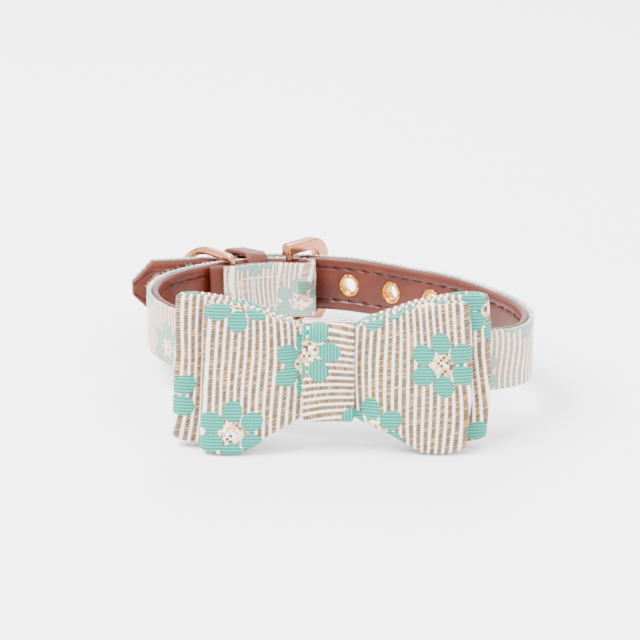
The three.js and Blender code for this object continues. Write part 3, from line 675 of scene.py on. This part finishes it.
def slot(in_flap):
    """The prong's slot round the fold, on into the buckle end and some way into the flap."""
    boxes = []
    along, out = loop_dirs(0.0)
    middle = place(0.0, BAR_DEPTH)
    for k, (u1, v0, v1) in enumerate((
            (SLOT_LENGTH, -0.01, STRAP_THICK + BAR_GAP / 2 + 0.25), (in_flap, -9.0, 0.01))):
        corners = [[*(middle + along * a + out * b), c] for a in (-7.0, u1) for b in (v0, v1)
                   for c in (-SLOT_WIDTH / 2, SLOT_WIDTH / 2)]
        faces = [[0, 1, 3, 2], [4, 6, 7, 5], [0, 4, 5, 1], [2, 3, 7, 6], [0, 2, 6, 4], [1, 5, 7, 3]]
        boxes.append(merged(f"cut_slot_{k}", [(world(np.array(corners)), faces)]))
    return boxes


def eyelet_places():
    first = USED_EYELET + EYELET_SPACING
    return [first - EYELET_SPACING * i for i in range(EYELETS)]


strap = leather_piece()
weave = fabric_piece()
for piece, in_flap in ((strap, SLOT_LENGTH), (weave, SLOT_IN_CLOTH)):
    tools = [holes(), *slot(in_flap)]
    cut_out(piece, tools)
    for tool in tools:
        bpy.data.objects.remove(tool)
dress(strap, leather, "leather", "collar", "collar_lining")
dress(weave, strap_weave, "brocade", "collar", "collar_fabric")


# Stitches
def on_route(route, key, way):
    return np.stack([np.interp(way, route["way"], route[key][:, k]) for k in (0, 1)], -1)


def stitches(name, rows, radius):
    """Each row: the ways and the heights of its two ends, how far the thread lies from the
    route (a fixed part, a part that thins with the strap, and the side it bows to), the length
    of a stitch and their pitch."""
    route = strap_route(0.2)
    place_in = np.linspace(-1, 1, 7)
    sunk = 0.28 * np.abs(place_in) ** 3
    parts = []
    for start, end, z0, z1, lift, length, pitch in rows:
        span = math.hypot(end - start, z1 - z0)
        count = max(1, int(span / pitch))
        for i in range(count):
            share = (place_in * length / 2 + (i + 0.5) * pitch) / span
            way = lerp(start, end, share)
            z = lerp(z0, z1, share)
            at, out = (on_route(route, key, way) for key in ("at", "out"))
            out = unit(out)
            n = lift[0] + lift[1] * np.interp(way, route["way"], route["thin"]) + lift[2] * sunk
            path = world(np.concatenate([at + out * n[:, None], z[:, None]], 1))
            size = radius * (1 - 0.45 * np.abs(place_in) ** 4) / 1000
            axis = STANDING if z0 == z1 else level(out[3])
            parts.append(tube_part(path, size, 8, axis))
    return merged(name, parts)


seam_start, seam_end = 4.0, LOOP + FREE_END - TIP_CHAMFER - 1.5
inner_rows = [(seam_start, seam_end, z, z, (0.36, 0.0, 1), SEAM_STITCH, SEAM_PITCH)
              for z in (-SEAM_GROOVE, SEAM_GROOVE)]
dress(stitches("inner_stitches", inner_rows, SEAM_THREAD), dark_thread, "leather", "collar")
on_cloth = (CLEAR + FABRIC + 0.06, LEATHER, -1)
flap_rows = [(-21.0, -4.5, z, z, on_cloth, 2.2, 2.9) for z in (3.7, -4.4)]
flap_rows += [(way, way + 0.02, -4.2, 3.9, on_cloth, 2.0, 2.7) for way in (-22.4, -7.6)]
dress(stitches("flap_stitches", flap_rows, 0.24), pale_thread, "brocade", "collar")


# Eyelets
def eyelet_piece(i, u):
    bore, rim = EYELET_HOLE / 2, EYELET_RIM / 2
    low, high = -EYELET_PROUD, STRAP_THICK + EYELET_PROUD
    seat = EYELET_SINK - CLEAR + 0.02
    far_seat = STRAP_THICK - seat
    # radius and depth round the section, from the middle of the bore over the inner rim
    r, y = np.array((
        (bore, 1.6), (bore, low + 0.5), (bore + 0.12, low + 0.16), (bore + 0.35, low - 0.02),
        (bore + 0.62, low - 0.02), (rim - 0.12, low + 0.14), (rim, seat - 0.06), (rim - 0.05, seat),
        (bore + EYELET_WALL, seat), (bore + EYELET_WALL, far_seat), (rim - 0.05, far_seat),
        (rim, far_seat + 0.06), (rim - 0.12, high - 0.14), (bore + 0.62, high), (bore + 0.35, high),
        (bore + 0.12, high - 0.16),
    )).T
    angle = round_steps(56)
    notch = sum(np.exp(-(((angle - a + math.pi) % (2 * math.pi) - math.pi) / 0.11) ** 2)
                for a in (0.5 + 0.3 * i, 2.3 + 0.2 * i, 4.4, 5.6))
    column = np.arange(len(r))
    radius = r[None] - 0.5 * notch[:, None] * ((column >= 3) & (column <= 6)) * (r - bore - 0.2)
    depth = y[None] + 0.16 * notch[:, None] * ((column >= 3) & (column <= 5))
    along, out = free_end_dirs(u)
    at = level(free_end_point(u))
    points = (at + radius[..., None] * (np.cos(angle)[:, None, None] * level(along)
              + np.sin(angle)[:, None, None] * UP) + depth[..., None] * level(out))
    return grid(f"eyelet_ring_{i}", world(points), True)


for i, u in enumerate(eyelet_places(), 1):
    dress(eyelet_piece(i, u), yellow_gold, "yellow_gold", "collar", f"eyelet_{i}")


# Buckle
def frame_angle():
    stack = BAR_GAP / 2 + STRAP_THICK + LAY_GAP + STRAP_THICK + EYELET_PROUD + CLEAR
    near = FRAME_REACH - FRAME_END / 2
    for angle in np.linspace(math.radians(FRAME_LEAN), math.pi / 2, FRAME_LEAN + 1):
        if near * math.sin(angle) + FRAME_THICK / 2 * math.cos(angle) >= stack:
            return angle
    return math.pi / 2


ANGLE = frame_angle()


def swung(u, v, angle, points):
    """Points drawn as (reach, height, across the plate) to the strap's frame."""
    along, out = (level(d) for d in loop_dirs(u))
    reach = along * math.cos(angle) + out * math.sin(angle)
    points = np.asarray(points, float)
    return (level(place(u, v)) + points[..., :1] * reach + points[..., 1:2] * UP
            + points[..., 2:3] * np.cross(reach, UP))


def corner(x, y, radius, steps):
    angle = np.linspace(math.pi / 2, 0, steps)
    return list(zip(x - radius * (1 - np.cos(angle)), y - radius * (1 - np.sin(angle))))


def frame_piece():
    half, far = FRAME_HEIGHT / 2, FRAME_REACH + FRAME_END / 2
    outer = [(-FRAME_HEEL, half - LIMB_CHAMFER), (-FRAME_HEEL + 0.3, half - 0.3),
             (LIMB_CHAMFER - FRAME_HEEL, half), *corner(far, half, FRAME_CORNER, 16)]
    inner = [(-FRAME_HEEL, FRAME_INSIDE / 2),
             *corner(FRAME_REACH - FRAME_END / 2, FRAME_INSIDE / 2, OPENING_CORNER, 12)]
    outline = outer + [(x, -y) for x, y in reversed(outer)]
    outline += [(x, -y) for x, y in inner] + list(reversed(inner))
    curve = bpy.data.curves.new("buckle_outline", "CURVE")
    curve.dimensions, curve.fill_mode = "2D", "BOTH"
    bevel = 0.4
    curve.extrude, curve.bevel_depth, curve.bevel_resolution = FRAME_THICK / 2 - bevel, bevel, 2
    curve.offset = -bevel
    spline = curve.splines.new("POLY")
    spline.points.add(len(outline) - 1)
    spline.points.foreach_set("co", np.array([(x, y, 0, 1) for x, y in outline]).ravel())
    spline.use_cyclic_u = True
    temporary = bpy.data.objects.new("buckle_outline", curve)
    bpy.context.scene.collection.objects.link(temporary)
    depsgraph = bpy.context.evaluated_depsgraph_get()
    mesh = bpy.data.meshes.new_from_object(temporary.evaluated_get(depsgraph))
    bpy.data.objects.remove(temporary)
    co = np.empty(len(mesh.vertices) * 3)
    mesh.vertices.foreach_get("co", co)
    plate = world(swung(BAR_PLACE, BAR_DEPTH, ANGLE, co.reshape(-1, 3)))
    faces = [list(p.vertices) for p in mesh.polygons]
    heights = np.linspace(-1, 1, 9) * (FRAME_INSIDE + FRAME_HEIGHT) / 4
    line = swung(BAR_PLACE, BAR_DEPTH, ANGLE, np.array([[0, y, 0] for y in heights]))
    bar = tube_part(world(line), BAR / 2000, 24, turned(level(loop_dirs(BAR_PLACE)[1])))
    return merged("buckle_plate", [(plate, faces), bar])


def open_curve(points, count):
    """A smooth open curve through points."""
    p = np.asarray(points, float)
    p = np.vstack([2 * p[0] - p[1], p, 2 * p[-1] - p[-2]])
    t = np.linspace(0, 1, count // (len(p) - 3) + 1)[:-1, None]
    return np.vstack([*(curve_part(*p[i:i + 4], t) for i in range(len(p) - 3)), p[-2][None]])


def prong_piece():
    r, inner = PRONG / 2, BAR / 2 + CLEAR
    beside = FRAME_THICK / 2 + r + CLEAR
    near = FRAME_REACH - FRAME_END / 2 - CLEAR
    root = inner + CLEAR
    line = open_curve([(root, 0, -beside * root / near), (near / 2, 0, -beside / 2), (near, 0, -beside),
                       (FRAME_REACH + FRAME_END / 2, 0, -beside)], 60)
    share = np.linspace(0, 1, len(line))
    end = np.clip((share - 0.95) / 0.0501, 0, 1)
    size = r * (1 - 0.25 * smooth((share - 0.6) / 0.4)) * np.sqrt(1 - 0.96 * end**2)
    parts = [tube_part(world(across_reach(line)), size / 1000, 18, STANDING)]
    # the eye round the bar: two rounded turns side by side
    turns, sides = 40, 14
    angle = round_steps(turns)
    sect = round_steps(sides)
    faces = tube_faces(turns, sides, True)
    for side in (-1, 1):
        thick, wide = PRONG_WALL / 2, PRONG_LOOP / 4
        radius = inner + thick + thick * np.cos(sect)
        z = side * wide + wide * 0.98 * np.sin(sect)
        ring = np.stack([radius * np.cos(angle)[:, None], np.broadcast_to(z, (turns, sides)),
                         radius * np.sin(angle)[:, None]], -1)
        parts.append((world(across_reach(ring.reshape(-1, 3))), faces))
    return merged("prong_wire", parts)


def across_reach(points):
    """(reach, height, through the frame's thickness) on the buckle."""
    return swung(BAR_PLACE, BAR_DEPTH, ANGLE, points)


def consistent(piece):
    """Joins double points and turns all faces outwards."""
    bm = bmesh.new()
    bm.from_mesh(piece.data)
    bmesh.ops.remove_doubles(bm, verts=bm.verts, dist=1e-7)
    bmesh.ops.recalc_face_normals(bm, faces=bm.faces)
    bm.to_mesh(piece.data)
    bm.free()
    return piece


buckle = dress(consistent(frame_piece()), rose_gold, "rose_gold", "collar", "buckle_frame")
edges = buckle.modifiers.new("shade", "EDGE_SPLIT")
edges.split_angle = math.radians(38)
dress(consistent(prong_piece()), yellow_gold, "yellow_gold", "collar", "buckle_prong")


# D-ring
def ring_piece():
    half = STRAP_WIDTH / 2 + CLEAR + RING_WIRE / 2
    wide = half + RING_BULGE
    centre = RING_REACH - wide
    straight = half - RING_CORNER
    upper = [(0, y) for y in np.linspace(0, straight, 8)]
    upper += [(RING_CORNER * (1 - math.cos(t)), straight + RING_CORNER * math.sin(t))
              for t in np.linspace(0, math.pi / 2, 9)[1:]]
    upper += [(centre / 2, (half + wide) / 2)]
    upper += [(centre + wide * math.cos(t), wide * math.sin(t)) for t in np.linspace(math.pi / 2, 0, 32)]
    line = np.array(upper + [(x, -y) for x, y in reversed(upper[1:-1])])
    side = outward_of(line)
    angle = round_steps(20)
    r = RING_WIRE / 2
    # a little flattened on both faces, as pressed wire is
    across, deep = r * np.cos(angle), r * np.sign(np.sin(angle)) * np.abs(np.sin(angle)) ** 0.7
    flat = line[:, None] + side[:, None] * across[None, :, None]
    points = np.concatenate([flat, np.broadcast_to(deep, flat.shape[:2])[..., None]], -1)
    seat = -STRAP_THICK - RING_GAP / 2
    return grid("ring_wire", world(swung(RING_PLACE, seat, math.radians(RING_ANGLE), points)), True)


dress(ring_piece(), rose_gold, "rose_gold", "leash_ring", "d_ring")


# Bands of cloth and leather
def rounded_rectangle(half_x, half_y, radius, step):
    """Points and running length of a rectangle with round corners, starting at the middle of +X."""
    line = []
    for sx, sy, start in ((1, 1, 0), (-1, 1, 90), (-1, -1, 180), (1, -1, 270)):
        for angle in np.radians(np.linspace(start, start + 90, 9)):
            line.append((sx * (half_x - radius) + radius * math.cos(angle),
                         sy * (half_y - radius) + radius * math.sin(angle)))
    line = np.array([(half_x, 0.0)] + line + [(half_x, 0.0)])
    run = np.concatenate([[0], np.cumsum(np.linalg.norm(np.diff(line, axis=0), axis=1))])
    at = np.linspace(0, run[-1], round(run[-1] / step), endpoint=False)
    return np.stack([np.interp(at, run, line[:, k]) for k in (0, 1)], -1), at


def capsule(per_face, arc=6):
    """A band's section: side share (1 outer face, -1 inner), height share, rise past the end, way
    round the end, and the two parts of the outward direction."""
    a = np.linspace(0, math.pi, arc + 2)[1:-1]
    face = np.linspace(0, 1, per_face)
    side = np.concatenate([np.ones(per_face), np.cos(a), -np.ones(per_face), -np.cos(a)])
    share = np.concatenate([face, np.ones(arc), face[::-1], np.zeros(arc)])
    rise = np.concatenate([np.zeros(per_face), np.sin(a), np.zeros(per_face), -np.sin(a)])
    round_ = np.concatenate([np.zeros(per_face), a, np.full(per_face, math.pi), -a[::-1]])
    return side, share, rise, round_


def band(path, outward, low, high, thick, per_face):
    """The section's points beside the path, their heights, the weave's place across the band,
    and the shares by which each point faces outwards and upwards."""
    side, share, rise, round_ = capsule(per_face)
    r = (np.broadcast_to(thick, len(path)) / 2)[:, None]
    low, high = (np.broadcast_to(v, len(path))[:, None] for v in (low, high))
    w = low + r + (high - low - 2 * r) * share + r * rise
    inner_face = round_ > 3
    t = low + r + (high - low - 2 * r) * share + r * round_
    t = np.where(inner_face, high - r + r * math.pi + (high - w), t)
    flat = path[:, None] + outward[:, None] * (side * r)[..., None]
    return flat, w, t, side, rise


def moved_out(flat, outward, side, distance):
    return flat + outward[:, None] * side[None, :, None] * distance[..., None]


us = np.linspace(LOOP * 0.3, LOOP * 0.75, 1200)
front_face = loop_point(us)
bow_at = front_face[np.argmin(np.abs(front_face[:, 0] - BOW_OFFSET))][1]
loop_front = BOW_LOOP_ROOM + CLOTH
knot_back = loop_front + CLEAR + CLOTH
waist_depth = 2 * CLOTH + CLEAR
back_waist = knot_back + CLEAR + waist_depth / 2
front_waist = back_waist + waist_depth + CLEAR
knot_front = front_waist + waist_depth / 2 + CLEAR + CLOTH
parting = (back_waist + front_waist) / 2
wing_out = WING_DEPTH / 2 + CLEAR / 2


def bow_stations(width, shift):
    """Points round a bow from the middle of its back over the left wing: x, the share of the way
    out to the tip, and 1 on the front or -1 on the back."""
    knot = KNOT_WIDTH / 2 + CLEAR
    x_all, front_all, out_all = [], [], []
    for side, front in ((-1, -1), (-1, 1), (1, 1), (1, -1)):
        tip = width / 2 + side * shift
        inside = np.linspace(0, knot, 12, endpoint=False)
        reach = spaced(knot, tip, BOW_PITCH / 6)
        # closer together where the cloth folds back
        share = (reach - knot) / (tip - knot)
        share = np.where(share > 0.9, 0.9 + 0.1 * np.sin((share - 0.9) / 0.1 * math.pi / 2), share)
        reach = knot + share * (tip - knot)
        xs = np.concatenate([inside, reach])
        outs = np.concatenate([np.zeros(len(inside)), share])
        if (side, front) in ((-1, 1), (1, -1)):
            xs, outs = xs[::-1][1:], outs[::-1][1:]
        elif (side, front) == (1, 1):
            xs, outs = xs[1:], outs[1:]
        x_all.append(side * xs)
        out_all.append(outs)
        front_all.append(np.full(len(xs), front))
    return (np.concatenate(v)[:-1] for v in (x_all, out_all, front_all))


def bow_piece(name, bow, waist, wing, marks):
    width, shift, above, below = (bow[k] for k in ("width", "shift", "above", "below"))
    x, out, front = bow_stations(width, shift)
    part = np.interp(out, WING[:, 0], WING[:, 3])
    thick = lerp(CLOTH, PUFF, smooth(out / 0.18))
    closing = np.sqrt(np.clip(1 - out**WING_SQUARE, 0, 1))
    gap = lerp((CLOTH + CLEAR) / 2, (WING_DEPTH - PUFF) / 2, part) * closing
    middle = lerp(waist, wing, smooth(out / WING_SPREAD))
    path = np.stack([x, -middle - front * gap], -1)
    outward = outward_of(path)
    outward *= np.sign((outward[:, 1] * -front).sum())
    kernel = np.ones(9) / 9
    rise, drop = (np.convolve(np.pad(np.interp(out, WING[:, 0], WING[:, k]), 4, "wrap"), kernel, "valid")
                  for k in (1, 2))
    low, high = -lerp(WAIST, below, drop), lerp(WAIST, above, rise)
    flat, w, t, side, up = band(path, outward, low, high, thick, 46)
    # the weave: cords fan out a little downwards; it runs on round the wing's end
    tips = np.where(x > 0, width / 2 + shift, -(width / 2 - shift))
    run = np.where(front > 0, x, 2 * tips - x)[:, None]
    fan = 1 + 0.045 * np.clip(-w / 19, -0.2, 1)
    s = run / fan + 0.35 * np.sin(w * 0.16 + run * 0.2)
    marked = [flowers(s, t, mark) for mark in marks]
    petal, bloom = (np.where(x[:, None] < 0, a, b) for a, b in zip(*marked))
    number = s / BOW_PITCH + 200
    height = cord_height(number, petal)
    flat = moved_out(flat, outward, side, height - WEAVE_LEVEL)
    w = w + up * (height - WEAVE_LEVEL)
    # soft forms: pleats that run out of the knot, a slack belly, wing ends that aren't quite straight
    o = out[:, None]
    pleat = PLEAT_DEPTH * (1 - smooth(o / PLEAT_REACH)) * smooth(o / 0.06) * np.cos(w * 0.52 + 0.6)
    belly = BELLY_DEPTH * smooth((o - 0.15) / 0.4) * (np.sin(w * 0.14 + x[:, None] * 0.09) - 0.3)
    flat[..., 1] -= pleat + belly
    lean = np.where(x[:, None] > 0, -1.1 * (w / 18) ** 2 + 0.4, 0.75 * w / 18 - 0.1)
    flat[..., 0] += lean * smooth((o - 0.35) / 0.65)
    points = np.concatenate([flat + np.array([BOW_OFFSET, bow_at]), w[..., None]], -1)
    cloth = np.stack([number, t, petal], -1)
    return grid(name, world(points), True, {"weave": cloth, "bloom": bloom})


front_bow = bow_piece("bow_front_cloth", BOWS["front"], front_waist, parting + wing_out, BOW_FLOWERS["front"])
dress(front_bow, bow_weave, "brocade", "collar", "bow_front")
back_bow = bow_piece("bow_back_cloth", BOWS["back"], back_waist, parting - wing_out, BOW_FLOWERS["back"])
dress(back_bow, bow_weave, "brocade", "collar", "bow_back")


def knot_piece():
    half_deep = (knot_front - knot_back) / 2
    half_up = WAIST + CLEAR + CLOTH / 2
    path, run = rounded_rectangle(half_deep, half_up, KNOT_CORNER, BOW_PITCH / 7)
    outward = outward_of(path)
    middle = (knot_front + knot_back - CLOTH) / 2
    # the band starts in the middle of the back, so the front's rows run through
    flat, w, t, side, up = band(path, outward, -KNOT_WIDTH / 2, KNOT_WIDTH / 2, CLOTH, 17)
    total = run[-1] + run[1]
    sway = np.sin(run / total * 2 * math.pi)[:, None]
    s = run[:, None] + 0.35 * np.cos(w * 0.25) - 0.12 * w * sway
    front_z = path[:, 1:2] * np.ones_like(w)
    petal, bloom = flowers_turned(t, s - total / 2, KNOT_FLOWER)
    number = s / (BOW_PITCH * 0.985) + 40
    height = cord_height(number, petal)
    flat = moved_out(flat, outward, side, height - WEAVE_LEVEL)
    w = w + up * (height - WEAVE_LEVEL)
    tuck = 0.5 * (np.abs(front_z) / half_up) ** 3 * np.sign(w) * smooth(np.abs(w) / 6.2)
    w = w - tuck * 0.5
    points = np.stack([BOW_OFFSET + w, bow_at - middle + flat[..., 0], flat[..., 1]], -1)
    cloth = np.stack([number, t, petal], -1)
    return grid("knot_cloth", world(points), True, {"weave": cloth, "bloom": bloom})


def flowers_turned(across, along, centre):
    """Flowers on a band whose cords run across it: one petal points along the cords."""
    return flowers(along, across, (centre[1], centre[0]))


knot = dress(knot_piece(), bow_weave, "brocade", "collar", "bow_knot")


def bow_loop_piece():
    inside = STRAP_THICK + BOW_LOOP_ROOM + CLOTH / 2
    outside = BOW_LOOP_ROOM + CLOTH / 2
    half_up = STRAP_WIDTH / 2 + CLEAR + CLOTH / 2
    path, run = rounded_rectangle((inside + outside) / 2, half_up, BOW_LOOP_CORNER, BOW_PITCH / 6)
    outward = outward_of(path)
    flat, w, t, side, _ = band(path, outward, -BOW_LOOP_WIDTH / 2, BOW_LOOP_WIDTH / 2, CLOTH, 13)
    s = run[:, None] * np.ones_like(w)
    petal = np.full(np.shape(s), NO_FLOWER)
    number = s / BOW_PITCH + 10
    height = cord_height(number, petal)
    flat = moved_out(flat, outward, side, height * 0.6 - WEAVE_LEVEL)
    points = np.stack([BOW_OFFSET + w, bow_at + (inside - outside) / 2 + flat[..., 0], flat[..., 1]], -1)
    cloth = np.stack([number, t, petal], -1)
    return grid("bow_loop_cloth", world(points), True, {"weave": cloth, "bloom": petal})


dress(bow_loop_piece(), bow_weave, "brocade", "collar", "bow_loop")


def keeper_piece():
    inside = -STRAP_THICK - KEEPER_GAP / 2
    outside = LAY_GAP + STRAP_THICK + CLEAR + KEEPER_SLACK + KEEPER_THICK / 2
    middle, half_out = (inside + outside) / 2, (outside - inside) / 2
    half_up = STRAP_WIDTH / 2 + KEEPER_ROOM + KEEPER_THICK / 2
    path, run = rounded_rectangle(half_out, half_up, KEEPER_CORNER + 0.5, 0.3)
    outward = outward_of(path)
    lean = KEEPER_LEAN * smooth((path[:, 0] + half_out) / (2 * half_out))
    low, high = lean - KEEPER_WIDTH / 2, lean + KEEPER_WIDTH / 2
    flat, w, _, side, _ = band(path, outward, low, high, KEEPER_THICK, 25)
    off = w - lean[:, None]
    line = -0.12 * np.exp(-((np.abs(off) - 2.1) / 0.16) ** 2) + 0.06 * (1 - (off / 2.9) ** 2)
    crease = 0.05 * np.sin(run[:, None] * 2.3 + off * 0.8) * (np.abs(path[:, 1:2]) > half_up - 3)
    flat = moved_out(flat, outward, side, line + crease)
    along, out = (level(d) for d in loop_dirs(KEEPER_PLACE))
    base = level(place(KEEPER_PLACE, middle))
    points = base + w[..., None] * along + flat[..., :1] * out + flat[..., 1:2] * UP
    return grid("keeper_band", world(points), True)


dress(keeper_piece(), worn_leather, "leather", "collar", "keeper_loop")


# Loose fibres on the cloth's edges
def fibres():
    route = strap_route(0.5)
    rng = np.random.default_rng(FIBRE_SEED)
    parts = []
    for _ in range(FIBRES):
        way = rng.uniform(LOOP * 0.42, LOOP * 0.93) if rng.random() < 0.8 else rng.uniform(12, LOOP * 0.42)
        at, out = (on_route(route, key, way) for key in ("at", "out"))
        along = np.array([-out[1], out[0]])
        side = 1 if rng.random() < 0.85 else -1
        length = rng.uniform(0.5, 1.5)
        lean = rng.normal(0, 0.5, 2)
        n = LEATHER + CLEAR + rng.uniform(0.35, FABRIC)
        steps = np.linspace(0, 1, 4)[:, None]
        flat = at + out * n + steps * length * (out * (0.35 + 0.4 * lean[0] * steps) + along * lean[1])
        z = side * (STRAP_WIDTH / 2 - 0.15 + length * 0.75 * steps * (1 - 0.25 * steps))
        line = world(np.concatenate([flat, z], 1))
        parts.append(tube_part(line, np.linspace(0.042, 0.02, 4) / 1000, 3, level(out)))
    return merged("edge_fibres", parts)


dress(fibres(), fibre, "brocade", "collar")


# Stage, light and camera
def stage_piece():
    """A floor that bends up to a wall, in metres."""
    near, bend_start, bend, top, half_wide = -1.4, 1.3, 0.5, 2.4, 2.2
    angle = np.linspace(0, math.pi / 2, 14)[1:]
    y = np.concatenate([np.linspace(near, bend_start, 12), bend_start + bend * np.sin(angle),
                        np.full(4, bend_start + bend)])
    z = np.concatenate([np.zeros(12), bend * (1 - np.cos(angle)), np.linspace(bend + 0.2, top, 4)])
    x = np.linspace(-half_wide, half_wide, 9)
    verts = [(a, b, c) for b, c in zip(y, z) for a in x]
    n, m = len(y), len(x)
    faces = [[i * m + j, i * m + j + 1, (i + 1) * m + j + 1, (i + 1) * m + j]
             for i in range(n - 1) for j in range(m - 1)]
    return merged("studio_sweep", [(np.array(verts), faces)])


floor = stage_piece()
paper = Shader("studio_paper", Roughness=0.75, Specular_IOR_Level=0.15)
cloud = paper.mul(paper.noise(paper.object_mm(), 0.004), 0.5)
paper.colour(paper.mix(cloud, (0.86, 0.835, 0.85), (0.84, 0.82, 0.84)))
floor.data.materials.append(paper.material)

LAMP_AIM = Vector((0, 0, 0.02))
world_light = bpy.data.worlds.new("studio")
bpy.context.scene.world = world_light
world_light.use_nodes = True
back = world_light.node_tree.nodes["Background"]
back.inputs["Color"].default_value = (0.96, 0.965, 1.0, 1)
back.inputs["Strength"].default_value = 3.1


def area_light(name, at, size, watts, colour=(1, 1, 1)):
    """A round lamp that shines on the middle of the collar."""
    data = bpy.data.lights.new(name, "AREA")
    data.shape, data.size, data.energy, data.color = "DISK", size, watts, colour
    lamp = bpy.data.objects.new(name, data)
    bpy.context.scene.collection.objects.link(lamp)
    lamp.location = at
    lamp.rotation_euler = (LAMP_AIM - Vector(at)).to_track_quat("-Z", "Y").to_euler()


area_light("key", (-0.5, -0.25, 0.95), 0.7, 42.0, (1.0, 0.985, 0.97))
area_light("fill", (0.8, -0.7, 0.5), 0.9, 11.0, (0.97, 0.98, 1.0))
area_light("back", (0.1, 0.75, 0.8), 0.8, 16.0)

pitch = math.radians(ELEVATION) - math.atan(AIM_DROP / FOCAL)
camera_data = bpy.data.cameras.new("camera")
camera_data.lens, camera_data.sensor_width = FOCAL / PHOTO * SENSOR, SENSOR
camera_data.clip_start, camera_data.clip_end = 0.01, 20
camera = bpy.data.objects.new("camera", camera_data)
bpy.context.scene.collection.objects.link(camera)
camera.location = CAMERA_AT
camera.rotation_euler = (math.pi / 2 - pitch, 0, 0)
bpy.context.scene.camera = camera
